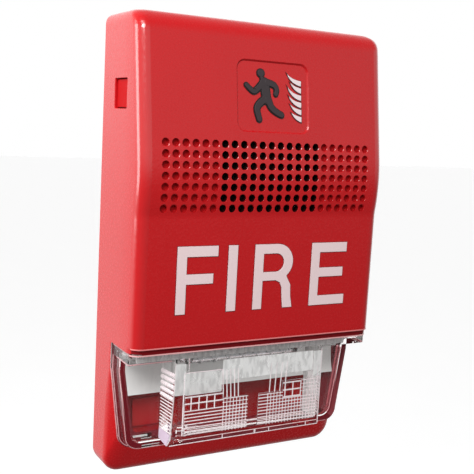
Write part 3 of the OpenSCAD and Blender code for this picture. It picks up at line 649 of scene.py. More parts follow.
def grille_cutter():
    """All the grille's holes, each with a small rounded mouth."""
    parts = []
    total = OPEN_COLS + 2 * BLIND_COLS
    for row in range(ROWS):
        z = GRILLE_Z + (row - (ROWS - 1) / 2) * PITCH
        surface = front_depth(z)
        for col in range(total):
            x = (col - (total - 1) / 2) * PITCH
            is_open = BLIND_COLS <= col < BLIND_COLS + OPEN_COLS
            bottom = surface - (2 * WALL if is_open else BLIND_HOLE_DEPTH)
            profile = [(bottom, HOLE_R if is_open else HOLE_R * 0.9), (bottom + 0.12, HOLE_R),
                       (surface - 0.2, HOLE_R), (surface - 0.08, HOLE_R + 0.03),
                       (surface, HOLE_R + 0.1), (surface + 0.15, HOLE_R + 0.3),
                       (surface + 0.6, HOLE_R + 0.31)]
            parts.append(lathe_y(x, z, profile, 24))
    return solid("holes", merge(parts))


def face_matrix(x, z, sink=0.0):
    """Local x is right, y is up the tilted face and z is outward."""
    depth = front_depth(z)
    return (Matrix.Translation((x, -depth, z)) @ Matrix.Rotation(math.pi / 2 - TILT, 4, "X")
            @ Matrix.Translation((0, 0, -sink)))


def icon_recess_cutter():
    """The shallow recess round the icon, with a sloping edge."""
    rings = []
    floor = -ICON_RECESS
    for height, grow in ((floor, -0.05), (floor + 0.06, 0.0), (floor + 0.1, 0.02), (0.0, 0.34),
                         (0.25, 0.7), (1.0, 0.7)):
        ring = rounded_rectangle(0, 0, ICON_W + 2 * grow, ICON_H + 2 * grow, 2.0 + grow, 6)
        rings.append([(x, y, height) for x, y in ring])
    return solid("recess", loft(rings), face_matrix(ICON_X, ICON_Z))


def window_cutter(side):
    """The side window, with a small chamfer at its mouth."""
    rings = []
    mid_d = (WINDOW_NEAR_D + WINDOW_FAR_D) / 2
    w = WINDOW_FAR_D - WINDOW_NEAR_D
    for x, grow in ((HALF_W - 2 * WALL, 0), (HALF_W - 0.15, 0), (HALF_W, 0.12), (HALF_W + 1, 0.6)):
        ring = rounded_rectangle(mid_d, WINDOW_Z, w + 2 * grow, WINDOW_H + 2 * grow, 0.3 + grow, 3)
        rings.append([(side * x, -d, z) for d, z in ring])
    return solid("window", loft(rings))


def cavity_cutter():
    """The room inside the shell, above the shelf."""
    rings = []
    inner_half = HALF_W - WALL
    for z, d in front_levels():
        if z < SHELF_TOP_Z or z > TOP_Z - WALL:
            continue
        rings.append(plan_ring(z, max(d - WALL, 8), min(inner_half, half_width(z) - WALL + 0.6), 1.4,
                               -1.0, 4, 3))
    first = [(x, y, SHELF_TOP_Z) for x, y, _ in rings[0]]
    return solid("cavity", loft([first] + rings))


def bay_outline(inset):
    """The strobe's bay, seen from the front."""
    corner = 1.6
    top_half = HALF_W - BAY_MARGIN - inset
    low_half = LENS_LOW_HALF_W - BAY_MARGIN - inset
    bottom = BAY_BOTTOM_Z + inset
    ring = [(-top_half, LIP_BOTTOM_Z), (-top_half, LENS_TAPER_Z)]
    ring += arc(-(low_half - corner), bottom + corner, corner, 190, 270, 5)
    ring += [(-x, z) for x, z in reversed(ring)]
    return ring


def shell_interior():
    """Everything hollow in the shell besides the main cavity."""
    inner = HALF_W - WALL
    floor_z = BOTTOM_Z + WALL
    neck_low, neck_high = LIP_BOTTOM_Z - 0.5, SHELF_TOP_Z + 0.5
    mouth_half = PRISM_HALF_W + 0.4
    bay = loft([[at(x, d, z) for x, z in bay_outline(inset)]
                for d, inset in ((BAY_FLOOR_D, 0.25), (SEAT_D - 0.2, 0.0), (SEAT_D + 1, 0.0))])
    rooms = [
        ("plate_room", block(-inner, inner, -1, PLATE_ROOM_D, floor_z, TOP_Z - WALL, 1.0)),
        ("lower_room", block(-inner, inner, -1, LOWER_ROOM_D, floor_z, LIP_BOTTOM_Z,
                             BOTTOM_CORNER_R - WALL)),
        ("mouth", block(-mouth_half, mouth_half, SEAT_D + WALL, FLAT_D - WALL, neck_low, neck_high)),
        ("back_mouth", block(-inner, inner, SEAT_D + WALL, BACK_MOUTH_D, neck_low, neck_high)),
        ("bay", bay)]
    for side in (-1, 1):
        a, b = sorted((side * LEG_HOLE_X0, side * LEG_HOLE_X1))
        rooms.append(("leg_hole", block(a, b, -1, SEAT_D + 1, LEG_HOLE_Z0, LEG_HOLE_Z1, 0.3)))
        x = side * LEAD_X
        rooms.append(("lead_slot", block(x - LEAD_SLOT_HALF, x + LEAD_SLOT_HALF, BAY_FLOOR_D,
                                         SEAT_D + 1, LEAD_SLOT_Z, SHELF_TOP_Z + 1, 0.3)))
    return [solid(name, part) for name, part in rooms]


def bay_pads():
    """Raised pads on the bay's floor, one each side."""
    parts = []
    for side in (-1, 1):
        rings = []
        for rise, grow in ((-0.2, 0.0), (0.45, 0.0), (0.6, -0.15)):
            ring = rounded_rectangle(side * PAD_X, PAD_Z, PAD_W + 2 * grow, PAD_H + 2 * grow, 0.5, 3)
            rings.append([at(x, BAY_FLOOR_D + rise, z) for x, z in ring])
        parts.append(loft(rings))
    return solid("pads", merge(parts))


def bosses():
    """The four posts that the board screws to."""
    parts = []
    for x in (-BOSS_X, BOSS_X):
        for z in BOSS_HEIGHTS:
            profile = [(BOSS_FOOT_D, BOSS_R - 0.1), (BOSS_FOOT_D + 0.2, BOSS_R),
                       (front_depth(z) - WALL / 2, BOSS_R + 0.2)]
            parts.append(lathe_y(x, z, profile))
    return solid("bosses", merge(parts))


# the cover's looks, first the one that it has in the open, then the glossy edges, then painted shades
COVER_LOOKS = ("red_shell", "red_edge", "blind_red", "dark_hollow", "lip_dark", "bay_red",
               "bay_deep", "seat_red", "pad_red")


def upper_look(side, depth, z):
    """The look of a face above the lip: the glossy long edges, painted shade in the grille's holes, or
    the rest.
    """
    front = front_depth(z)
    if HALF_W - EDGE_R < side < HALF_W - 0.02 and depth > front - EDGE_R and z < TOP_Z - 4:
        return "red_edge"
    in_grille = abs(z - GRILLE_Z) < ROWS / 2 * PITCH + 0.5 and side < HALF_W - 5
    # painted shade: near black in the open holes, a darker red in the blind ones
    if in_grille and depth < front - 0.14:
        return "dark_hollow" if side < OPEN_COLS / 2 * PITCH else "blind_red"
    return "red_shell"


def lower_look(side, depth, z, facing_x):
    """The look of a face at or below the lip: painted shade in the leg holes, on the lip's band and in
    the bay, or the rest.
    """
    in_leg_hole = LEG_HOLE_X0 < side < LEG_HOLE_X1 and LEG_HOLE_Z0 < z < LEG_HOLE_Z1
    # painted shade: near black in the leg holes
    if in_leg_hole and depth < SEAT_D - 0.05:
        return "dark_hollow"
    if LIP_BOTTOM_Z - 0.02 < z < LIP_Z - 0.02 and depth > SEAT_D + 1 and side < HALF_W - 0.5:
        return "lip_dark"
    if z > LIP_BOTTOM_Z or depth < BAY_FLOOR_D - 0.5 or depth > SEAT_D + 0.05:
        return "red_shell"
    if abs(depth - SEAT_D) < 0.05:
        return "seat_red"
    if z < LENS_BOTTOM_Z or side > LENS_LOW_HALF_W:
        return "red_shell"
    by_pad = abs(side - PAD_X) < PAD_W / 2 + 0.4 and z < PAD_Z + PAD_H / 2 + 0.6
    if by_pad and depth > BAY_FLOOR_D + 0.4:
        return "pad_red"
    return "bay_deep" if abs(facing_x) > 0.7 else "bay_red"


def shade_cover(cover):
    """Painted shade: deeper reds and near black in the holes, under the lip and under the lens, where
    little light gets in.
    """
    for name in COVER_LOOKS[1:]:
        cover.data.materials.append(MATERIALS[name])
    for polygon in cover.data.polygons:
        x, y, z = polygon.center / MM
        if z > LIP_Z:
            look = upper_look(abs(x), -y, z)
        else:
            look = lower_look(abs(x), -y, z, polygon.normal.x)
        polygon.material_index = COVER_LOOKS.index(look)


def lip_skirt():
    """A thin wall that carries the lip's band of painted shade down in front of the lens's top bar."""
    half = HALF_W - EDGE_R
    depth = FLAT_D - LIP_BAND_STEP
    skirt = solid("lip_skirt", block(-half, half, depth - SKIRT_T, depth, LIP_BOTTOM_Z - SKIRT_H,
                                     LIP_BOTTOM_Z + 0.05))
    place(skirt, "red_shell", "head", 30, look="lip_dark")


def lip_bead(name, z, depth, half, high, look):
    """A fine bead along the lip's edge, round the two front corners, in a pale pink that is a painted
    highlight.
    """
    corner = arc(0, 0, EDGE_R, 25, 90, 6)
    path = [(-HALF_W + EDGE_R - a, depth - EDGE_R + b, -a / EDGE_R, b / EDGE_R) for a, b in corner]
    path += [(-x, d, -nx, nd) for x, d, nx, nd in reversed(path)]
    rings = []
    for x, d, nx, nd in path:
        outer = (x + nx * high, d + nd * high)
        inner = (x - nx * 0.15, d - nd * 0.15)
        rings.append([at(*outer, z - half), at(*outer, z + half), at(*inner, z + half),
                      at(*inner, z - half)])
    place(solid(name, loft(rings)), "red_shell", "head", 30, look=look)


def make_cover():
    """The whole red shell, with its painted shade, and its beads along the lip in painted highlight."""
    cover = upper_solid()
    add(cover, apron_solid())
    cut(cover, cavity_cutter(), *shell_interior())
    add(cover, bay_pads(), bosses())
    cut(cover, grille_cutter(), icon_recess_cutter(), window_cutter(-1), window_cutter(1))
    place(cover, "red_shell", "head", 18, ["front_cover"])
    shade_cover(cover)
    # the two beads' pale pinks are painted highlights, and the skirt between them is painted shade
    lip_bead("lip_bead_upper", LIP_Z + 0.12, FLAT_D - 0.02, 0.16, 0.06, "lip_bead")
    lip_skirt()
    lip_bead("lip_bead_lower", LIP_BOTTOM_Z - SKIRT_H + 0.1, FLAT_D - LIP_BAND_STEP, 0.16, 0.06,
             "lip_bead_pale")


make_cover()

# ---- lettering and icon


def outline_solid(name, loops, height, bevel, transform, grow=0.0):
    """A flat shape with holes, raised by height, from loops of (x, y) points."""
    data = bpy.data.curves.new(name, "CURVE")
    data.dimensions = "2D"
    data.fill_mode = "BOTH"
    data.extrude = height / 2 * MM
    data.bevel_depth = bevel * MM
    data.bevel_resolution = 2
    data.offset = (grow - bevel) * MM
    for loop in loops:
        spline = data.splines.new("POLY")
        spline.points.add(len(loop) - 1)
        for point, (x, y) in zip(spline.points, loop):
            point.co = (x * MM, y * MM, 0, 1)
        spline.use_cyclic_u = True
    curve = bpy.data.objects.new(name, data)
    bpy.context.scene.collection.objects.link(curve)
    bpy.context.view_layer.update()
    graph = bpy.context.evaluated_depsgraph_get()
    mesh = bpy.data.meshes.new_from_object(curve.evaluated_get(graph))
    bpy.data.objects.remove(curve)
    mesh.transform(in_metres(transform))
    return bpy.data.objects.new(name, mesh)


def letter_loops():
    """Each letter's outline and holes, from its top left corner."""
    s, h = STROKE, LETTER_H

    def shift(loop, x):
        return [(px + x, py) for px, py in loop]

    f = [(0, 0), (10.9, 0), (10.9, -2.55), (s, -2.55), (s, -6.8), (9.8, -6.8), (9.8, -9.25),
         (s, -9.25), (s, -h), (0, -h)]
    i = [(0, 0), (s, 0), (s, -h), (0, -h)]
    e = [(0, 0), (11.0, 0), (11.0, -2.5), (s, -2.5), (s, -6.6), (10.1, -6.6), (10.1, -9.0),
         (s, -9.0), (s, -14.0), (11.0, -14.0), (11.0, -h), (0, -h)]
    # The R's bowl is a half round, and its leg drops from a rounded shoulder
    bowl_r = 4.6
    bowl = arc(6.7, -bowl_r, bowl_r, 90, -52, 14)
    shoulder = [(9.9, -8.9), (10.9, -10.6), (11.1, -13.6), (11.7, -h)]
    leg = [(8.9, -h), (8.5, -13.6), (8.3, -11.2), (7.7, -9.9), (6.4, -9.3), (s, -9.3), (s, -h),
           (0, -h)]
    r = [(0, 0)] + bowl + shoulder + leg
    inner_r = 2.35
    counter = ([(s, -2.4), (6.3, -2.4)] + arc(6.3, -2.4 - inner_r, inner_r, 80, -80, 10)
               + [(6.3, -7.1), (s, -7.1)])
    return [[shift(f, -24.4)], [shift(i, -10.6)], [shift(r, -3.1), shift(counter, -3.1)],
            [shift(e, 13.9)]]


def make_letters():
    """The word, with a thin dark edge round it: a painted shadow of the raised letters on the red."""
    turn = Matrix.Translation((0, -FLAT_D, LETTER_TOP_Z)) @ Matrix.Rotation(math.pi / 2, 4, "X")
    names = ("letter_f", "letter_i", "letter_r", "letter_e")
    for index, (name, loops) in enumerate(zip(names, letter_loops())):
        face = outline_solid(name, loops, 0.16, 0.05, turn @ Matrix.Translation((0, 0, 0.06)))
        place(face, "letter_white", "head", 30, ["fire_letters"] if index == 0 else ())
        # a dark rim round each letter, a painted shadow
        edge = outline_solid(name + "_edge", loops, 0.06, 0.0, turn, grow=0.16)
        place(edge, "letter_white", "head", 30, look="letter_edge")


make_letters()


def tapered_stroke(points, radii, steps=8):
    """Outline of a stroke whose half width changes along its points, with round ends."""
    left, right = [], []
    for k, (x, y) in enumerate(points):
        ax, ay = points[max(0, k - 1)]
        bx, by = points[min(len(points) - 1, k + 1)]
        length = math.hypot(bx - ax, by - ay)
        nx, ny = -(by - ay) / length, (bx - ax) / length
        left.append((x + nx * radii[k], y + ny * radii[k]))
        right.append((x - nx * radii[k], y - ny * radii[k]))

    def end_cap(centre, edge, r):
        start = math.degrees(math.atan2(edge[1] - centre[1], edge[0] - centre[0]))
        return arc(*centre, r, start, start - 180, steps)[1:-1]

    return (left + end_cap(points[-1], left[-1], radii[-1]) + right[::-1]
            + end_cap(points[0], right[0], radii[0]))


def smooth_path(points, steps=6):
    """Catmull-Rom points through a few control points."""
    out = []
    padded = [points[0]] + points + [points[-1]]
    for k in range(1, len(padded) - 2):
        p0, p1, p2, p3 = padded[k - 1:k + 3]
        for i in range(steps):
            t = i / steps
            out.append(tuple(0.5 * (2 * b + (c - a) * t + (2 * a - 5 * b + 4 * c - d) * t * t
                                    + (3 * b - a - 3 * c + d) * t ** 3)
                             for a, b, c, d in zip(p0, p1, p2, p3)))
    return out + [points[-1]]


def limb(points, r0, r1):
    path = smooth_path(points)
    radii = [r0 + (r1 - r0) * i / (len(path) - 1) for i in range(len(path))]
    return tapered_stroke(path, radii)


# the running figure's limbs and the flames, in the recess's own plane
FIGURE = {
    "head": arc(-3.5, 5.7, 1.05, 0, 345, 23),
    "neck": limb([(-3.3, 4.7), (-2.9, 3.9)], 0.45, 0.7),
    "trunk": limb([(-2.55, 3.4), (-2.2, 1.5), (-1.95, -0.7)], 1.3, 1.25),
    "arm_front": limb([(-3.0, 3.3), (-4.4, 1.9), (-5.5, 1.15), (-6.6, 1.7), (-7.6, 2.6)], 0.85, 0.6),
    "arm_back": limb([(-1.7, 3.5), (0.2, 3.0), (0.95, 1.9), (0.75, 0.75)], 0.85, 0.6),
    "leg_front": limb([(-2.5, -0.6), (-4.1, -1.9), (-4.7, -3.2), (-4.1, -5.6)], 0.95, 0.75),
    "leg_back": limb([(-1.5, -0.6), (-0.7, -2.4), (0.6, -3.5), (2.3, -4.3)], 0.95, 0.75),
}
# each flame's tip, how far the tip rises, and the height of its top
FLAMES = [(4.2, 1.5, 4.5), (5.1, 1.15, 2.7), (4.3, 1.8, 0.9), (4.6, 1.4, -0.9), (5.0, 1.1, -2.7),
          (5.3, 0.9, -4.5)]
FLAME_X = 8.2
FLAME_H = 1.3


def flame_loop(tip_x, rise, top):
    """A tongue that is pointed at the left and broad at the right."""
    tip = (tip_x, top + rise)
    upper = curve_points(tip, (tip_x + 1.2, top + 0.25), (FLAME_X, top))
    lower = curve_points((FLAME_X - 0.05, top - FLAME_H), (tip_x + 0.9, top - 0.8), tip)
    return upper + lower[:-1]


def make_icon():
    """A running figure and rising flames in the recess, each a raised pad with a dark edge."""
    base = face_matrix(ICON_X, ICON_Z, ICON_RECESS)
    for index, (name, loop) in enumerate(FIGURE.items()):
        lift = 0.16 + 0.012 * index
        part = outline_solid("figure_" + name, [loop], 0.14, 0.08,
                             base @ Matrix.Translation((0, 0, lift)), grow=-0.12)
        place(part, "figure_grey", "head", 40, ["icon_figure"] if index == 0 else ())
        rim = outline_solid("figure_edge_" + name, [loop], 0.12, 0.0,
                            base @ Matrix.Translation((0, 0, 0.06 + 0.004 * index)), grow=0.16)
        place(rim, "figure_grey", "head", 40, look="figure_edge")
    for k, flame in enumerate(FLAMES):
        loop = flame_loop(*flame)
        bar = outline_solid("flame_%d" % k, [loop], 0.14, 0.04,
                            base @ Matrix.Translation((0, 0, 0.15)))
        place(bar, "flame_white", "head", 40, ["icon_bars"] if k == 0 else ())
        rim = outline_solid("flame_edge_%d" % k, [loop], 0.1, 0.0,
                            base @ Matrix.Translation((0, -0.06, 0.05 + 0.004 * k)), grow=0.17)
        place(rim, "flame_white", "head", 40, look="flame_edge")


make_icon()

# ---- lens


def lens_ring(inset, top):
    """The lens's outline, seen from the front."""
    half_top = HALF_W - inset
    low_half = LENS_LOW_HALF_W - inset
    r = LENS_CORNER_R - inset / 2
    cx = low_half - r * 0.8
    cz = LENS_BOTTOM_Z + inset + r
    left = [(-half_top, top), (-half_top, LENS_TAPER_Z)] + arc(-cx, cz, r, 180, 270, 8)
    return left + [(-x, z) for x, z in reversed(left)]


def lens_loft(name, levels, top=LENS_TOP_Z):
    """A solid through the lens's outline. levels lists (depth, inset)."""
    return solid(name, loft([[at(x, d, z) for x, z in lens_ring(inset, top)] for d, inset in levels]))


def ridge(a, b, outward, half, high):
    """A fine triangular rib from a to b on a surface that faces outward. Points are (x, depth, z)."""
    a, b, up = Vector(at(*a)), Vector(at(*b)), Vector(outward).normalized()
    side = (b - a).cross(up).normalized()
    sink = up * 0.06
    rings = [[tuple(p - side * half - sink), tuple(p + side * half - sink), tuple(p + up * high)]
             for p in (a, b)]
    return loft(rings)


PANEL_X0 = 1.6
PANEL_X1 = 19.6
PANEL_SPLIT = 9.0
PANEL_BOTTOM_Z = -44.9
BLOCK_FRONT_D = PRISM_D - 0.3
RIB_PITCH = 0.87
FINE_PITCH = 0.95
CELL_RIGHT = 14.6
CELL_TOP_Z = -34.2
CELL_LOW_Z = -38.1
FOOT_LINE_Z = -45.9


def block_half_width(depth, z, side=-1):
    """The block's ends lean inward to the front, and the left one flares at the foot."""
    lean = (depth - WINDOW_D) / (PRISM_D - WINDOW_D)
    if side > 0:
        return PRISM_RIGHT_W - 0.4 * lean
    down = min(1.0, max(0.0, (-31 - z) / 14))
    flare = 0.9 * min(1.0, max(0.0, (-45.4 - z) / 1.4)) * max(0.0, lean)
    return PRISM_HALF_W - lean * (1.0 - 0.75 * down) + flare


def prism_block():
    """The thick centre block, with an upright valley beside the left ribbed panel."""
    rings = []
    for z, grow in ((PRISM_BOTTOM_Z, -0.15), (PRISM_BOTTOM_Z + 0.2, 0.0), (-46.6, 0.0), (-45.9, 0.0),
                    (-45.4, 0.0), (-40.5, 0.0), (-36, 0.0), (-31, 0.0), (LENS_TOP_Z, 0.0)):
        d = BLOCK_FRONT_D + grow
        left = block_half_width(BLOCK_FRONT_D, z) + grow
        right = block_half_width(BLOCK_FRONT_D, z, 1) + grow
        valley = 21.2 if z > -46 else d - 0.02
        ring = [(-block_half_width(WINDOW_D, z) - grow, WINDOW_D - 0.6), (-left, d - 0.3),
                (-left + 0.3, d), (-PANEL_X1 - 1.1, valley), (-PANEL_X1 - 0.1, d),
                (PANEL_X1 + 0.1, d), (right - 0.3, d), (right, d - 0.3),
                (block_half_width(WINDOW_D, z, 1) + grow, WINDOW_D - 0.6)]
        rings.append([at(x, dd, z) for x, dd in ring])
    return solid("prism_block", loft(rings))


def lens_panels():
    """The two ribbed panels, each with a lower inner part."""
    parts = []
    for side in (-1, 1):
        for x0, x1, top in ((PANEL_SPLIT - 0.2, PANEL_X1, -33.6), (PANEL_X0, PANEL_SPLIT, -36.2)):
            a, b = sorted((side * x0, side * x1))
            parts.append(block(a, b, PRISM_D - 0.8, PRISM_D, PANEL_BOTTOM_Z, top, 0.12, 2))
    return [solid("panel", part) for part in parts]


def lens_top_bar(grow, top):
    """The bar under the lip that fills its whole width, or its hollow where grow is below 0."""
    w = TOP_BAR_HALF_W + grow
    back = SEAT_D - (1 + grow * 0.1 if grow < 0 else 0)
    return block(-w, w, back, TOP_BAR_D + grow, TOP_BAR_BOTTOM_Z - grow, top, 0.2, 2)


def rib(x0, z0, x1, z1, half=0.13, high=0.16, depth=PRISM_D):
    return ridge((x0, depth, z0), (x1, depth, z1), (0, -1, 0), half, high)


def spaced(first, pitch, count):
    return [first + pitch * k for k in range(count)]


def across(x0, x1, heights, *size):
    """Level ribs from x0 to x1, one at each height."""
    return [rib(x0, z, x1, z, *size) for z in heights]


def upright(places, z0, z1, *size):
    """Upright ribs from z0 to z1, one at each place."""
    return [rib(x, z0, x, z1, *size) for x in places]


def panel_ribs():
    """Every fine rib on the block's front."""
    # the left panel: level ribs, fine uprights on its inner part, and large cells at its top
    parts = across(-PANEL_X1, -PANEL_X0, spaced(-38.5, -RIB_PITCH, 8), 0.15, 0.18)
    parts += upright(spaced(-PANEL_SPLIT + 0.3, FINE_PITCH, 8), PANEL_BOTTOM_Z, -36.4, 0.1, 0.14)
    parts += across(-PANEL_SPLIT, -PANEL_X0, (-36.4, -37.4))
    parts += across(-PANEL_X1, -PANEL_SPLIT, (-34.9, -36.6), 0.2, 0.2)
    parts += upright((-17.9, -15.7, -13.5, -11.3), -38.3, -34.9, 0.16, 0.2)
    # the right panel: level ribs, the top two short, thick and thin by turns
    for k, z in enumerate(spaced(-36.7, -RIB_PITCH, 10)):
        far = PANEL_X1 if k > 1 else PANEL_SPLIT
        parts += across(PANEL_X0, far, [z], 0.16 if k % 2 else 0.12, 0.18)
    # its fine uprights, four large cells, and a fine mesh beside them
    columns = spaced(4.4, FINE_PITCH, 16)
    parts += upright(columns[:5], PANEL_BOTTOM_Z, -36.4, 0.1, 0.16)
    parts += upright(columns[5:], PANEL_BOTTOM_Z, CELL_LOW_Z - 0.1, 0.1, 0.16)
    parts += across(PANEL_SPLIT, CELL_RIGHT, (CELL_TOP_Z, -36.2, CELL_LOW_Z), 0.2, 0.2)
    parts += upright((9.7, 12.1, CELL_RIGHT), CELL_LOW_Z, CELL_TOP_Z, 0.16, 0.2)
    parts += upright(spaced(CELL_RIGHT + 1, 1.0, 4), CELL_LOW_Z - 0.1, CELL_TOP_Z + 0.4, 0.1, 0.16)
    parts += across(CELL_RIGHT, PANEL_X1, spaced(CELL_TOP_Z + 0.2, -1.0, 4), 0.1, 0.16)
    return parts


def front_lines():
    """Flutes over the panels, edges, the link between the panels and the lines at the foot."""
    d = BLOCK_FRONT_D
    # the flutes lean outward a little
    parts = [rib(base, -36.2, base - 0.5, -28.8, 0.16, 0.22, d) for base in spaced(-8.7, 1.1, 5)]
    parts += [rib(base, -36.4, tip, -28.5, 0.15, 0.2, d)
              for base, tip in ((5.0, 5.2), (6.6, 6.9), (8.2, 8.6), (9.7, 10.1))]
    left = -PANEL_X1 - 0.3
    parts += upright([left], -44.8, -28.7, 0.16, 0.24, d)
    parts += across(left, -9.3, [-28.7], 0.12, 0.16, d)
    parts += upright([-left], -44.8, -30.5, 0.14, 0.2, d)
    parts += across(-PANEL_X0, PANEL_X0, [-43.2], 0.25, 0.25, d)
    parts += across(-20.6, 20.6, [FOOT_LINE_Z], 0.09, 0.12, d)
    parts += across(-PRISM_HALF_W, 20.9, [-47.0], 0.12, 0.16, d)
    for x, half in ((-8.4, 0.12), (1.2, 0.3), (5.5, 0.12), (17.1, 0.12)):
        parts += upright([x], -47.0, FOOT_LINE_Z, half, 0.16, d)
    return parts


def end_ribs():
    """Ribs along the block's ends: five large above, ten fine below."""
    parts = []
    for side in (-1, 1):
        rows = [(-29.3 - 1.5 * k, 0.6, 0.35 if side < 0 else 0.1) for k in range(5)]
        rows += [(-36.5 - 0.83 * k, 0.15, 0.18 if side < 0 else 0.1) for k in range(10)]
        for z, half, high in rows:
            a = (side * block_half_width(WINDOW_D + 0.3, z, side), WINDOW_D + 0.3, z)
            b = (side * block_half_width(BLOCK_FRONT_D - 0.35, z, side), BLOCK_FRONT_D - 0.35, z)
            parts.append(ridge(a, b, (side, 0, 0), half, high))
        edge = [(side * block_half_width(BLOCK_FRONT_D - 0.15, z, side), BLOCK_FRONT_D - 0.15, z)
                for z in (-46.8, -45.4, -31, -26)]
        parts += [ridge(p, q, (side, -1, 0), 0.12, 0.16) for p, q in zip(edge, edge[1:])]
    return parts


def flange_lines():
    """The rounded edges of the flange and of the window, in a pale pink that is a painted highlight
    where they catch the light.
    """
    parts = []
    for depth, inset, r in ((SEAT_D + FLANGE_T - 0.1, 0.3, 0.12), (WINDOW_D - 0.9, 0.9, 0.1)):
        path = lens_ring(inset, TOP_BAR_BOTTOM_Z + 0.3)
        for (x0, z0), (x1, z1) in zip(path, path[1:]):
            if (x0 + x1) / 2 < LENS_LOW_HALF_W - 3:
                parts.append(ridge((x0, depth, z0), (x1, depth, z1), (0, -1, 0), r, r))
    d = TOP_BAR_D - 0.2
    w = TOP_BAR_HALF_W - 0.25
    low = TOP_BAR_BOTTOM_Z + 0.15
    parts.append(ridge((-w, d, low), (-PRISM_HALF_W, d, low), (0, -1, -1), 0.14, 0.18))
    for side in (-1, 1):
        parts.append(ridge((side * w, 14.5, low), (side * w, d, low), (side, 0, -1), 0.24, 0.2))
        parts.append(ridge((side * w, SEAT_D + 1, LENS_TOP_Z - 0.3), (side * w, d, LENS_TOP_Z - 0.3),
                           (side, 0, 0), 0.12, 0.16))
    return parts


def lens_feet():
    """The frosted foot of the block's left end."""
    rings = []
    for d in (WINDOW_D + 0.2, 19.5, BLOCK_FRONT_D - 0.4):
        ring = [(-47.0, 0.08), (-47.0, -0.12), (-44.3, -0.12), (-44.3, 0.08)]
        rings.append([at(-block_half_width(d, z) - out, d, z) for z, out in ring])
    return [loft(rings)]


def haze_parts():
    """The milky insides of the top bar and of the block's upper half."""
    return [block(-32.5, 28.6, TOP_BAR_D - 1.0, TOP_BAR_D - 0.7, -25.2, LENS_TOP_Z - 0.1, 0.1, 2),
            block(-9.2, 18.2, BLOCK_FRONT_D - 0.1, BLOCK_FRONT_D + 0.06, -31.6, -26.2, 0.3)]


def frosted_parts():
    """An optic over the left panel, a strip at each end of the block, and two pale bars at the foot
    that are painted glints.
    """
    front, face = BLOCK_FRONT_D, SEAT_D + FLANGE_T
    return [block(-PANEL_X1, -9.4, front - 0.1, front + 0.12, -34.4, -28.8, 0.3),
            block(18.4, 20.8, front - 0.1, front + 0.1, -33.4, -26.4, 0.2),
            block(-22.4, -19.6, front - 0.1, front + 0.1, -34.2, -26.2, 0.2),
            # painted glints: two pale bars along the lens's lower edge
            block(-26.6, -21.7, face - 0.05, face + 0.1, -50.1, -49.7, 0.1, 2),
            block(-29.1, -24.9, face - 0.05, face + 0.1, -47.7, -47.2, 0.1, 2)]


# the lens's looks, first the one that most of it has
LENS_LOOKS = ("lens_clear", "lens_side", "lens_edge", "lens_frost")
WALL_TOP_Z = -28.0
FROST_LOW_Z = -42.0


def lens_look(x, depth, z, facing_x):
    """The look of one of the lens's faces: tinted and frosted side walls, a painted highlight on the
    flange's left end, the rest clear.
    """
    if abs(facing_x) < 0.7 or z > WALL_TOP_Z:
        return "lens_clear"
    if x > PRISM_HALF_W:
        return "lens_side"
    if x > PRISM_RIGHT_W - 2 and z > FROST_LOW_Z:
        return "lens_frost"
    # painted highlight on the flange's left end
    if x < -PRISM_HALF_W and facing_x < 0 and depth < SEAT_D + FLANGE_T:
        return "lens_edge"
    return "lens_clear"


def shade_lens(lens):
    """Gives the side walls of the window, the block and the flange their looks."""
    for name in LENS_LOOKS[1:]:
        lens.data.materials.append(MATERIALS[name])
    for polygon in lens.data.polygons:
        x, y, z = polygon.center / MM
        polygon.material_index = LENS_LOOKS.index(lens_look(x, -y, z, polygon.normal.x))


def lens_solid():
    """The clear moulding: flange, window, top bar, block and panels, hollow behind."""
    face = SEAT_D + FLANGE_T
    lens = lens_loft("lens_detailed", [(SEAT_D, 0.05), (SEAT_D + 0.15, 0.0), (face - 0.15, 0.0),
                                       (face, 0.15)])
    window = lens_loft("window_box", [
        (SEAT_D + 0.3, WINDOW_INSET), (WINDOW_D - 0.7, WINDOW_INSET + 0.1),
        (WINDOW_D - 0.2, WINDOW_INSET + 0.3), (WINDOW_D, WINDOW_INSET + 0.7)])
    add(lens, window, solid("top_bar", lens_top_bar(0, LENS_TOP_Z)), prism_block(), *lens_panels())
    inner = WINDOW_INSET + LENS_WALL
    inner_d = WINDOW_D - LENS_WALL
    above = LENS_TOP_Z + 1
    right = PRISM_RIGHT_W - 0.8
    hollow = lens_loft("hollow", [(SEAT_D - 1, inner), (inner_d - 0.3, inner + 0.1),
                                  (inner_d, inner + 0.5)], above)
    deep = solid("deep", block(-PRISM_HALF_W + 2.3, right, WINDOW_D - 2, 19.8,
                               PRISM_BOTTOM_Z + 1.4, above, 0.3))
    deeper = solid("deeper", block(-18.2, right, 19.5, PRISM_D - 1.5, PRISM_BOTTOM_Z + 1.8, above, 0.3))
    cut(lens, hollow, deep, deeper, solid("bar_room", lens_top_bar(-LENS_WALL, above)))
    return lens


# each fine part of the lens: its name, what makes it, and its look
LENS_PARTS = (
    # the ribs' pale white is a painted reflection
    ("lens_panel_ribs", panel_ribs, "lens_rib"),
    ("lens_front_lines", front_lines, "lens_rib"),
    ("lens_end_ribs", end_ribs, "lens_rib"),
    ("lens_edges", flange_lines, "lens_edge"),
    ("lens_feet", lens_feet, "lens_foot"),
    ("lens_optic", frosted_parts, "lens_frost"),
    ("lens_bar_haze", haze_parts, "lens_haze"),
)


def make_lens():
    lens = place(lens_solid(), "lens_clear", "head", 20, ["lens"])
    shade_lens(lens)
    pieces = [lens]
    for name, make_parts, look in LENS_PARTS:
        part = solid(name, merge(make_parts()))
        pieces.append(place(part, "lens_clear", "head", 20, look=look))
    # light reaches the bay as if through thin clear walls
    for piece in pieces:
        piece.visible_shadow = False
        piece.visible_diffuse = False


make_lens()

# ---- reflector and flash tube

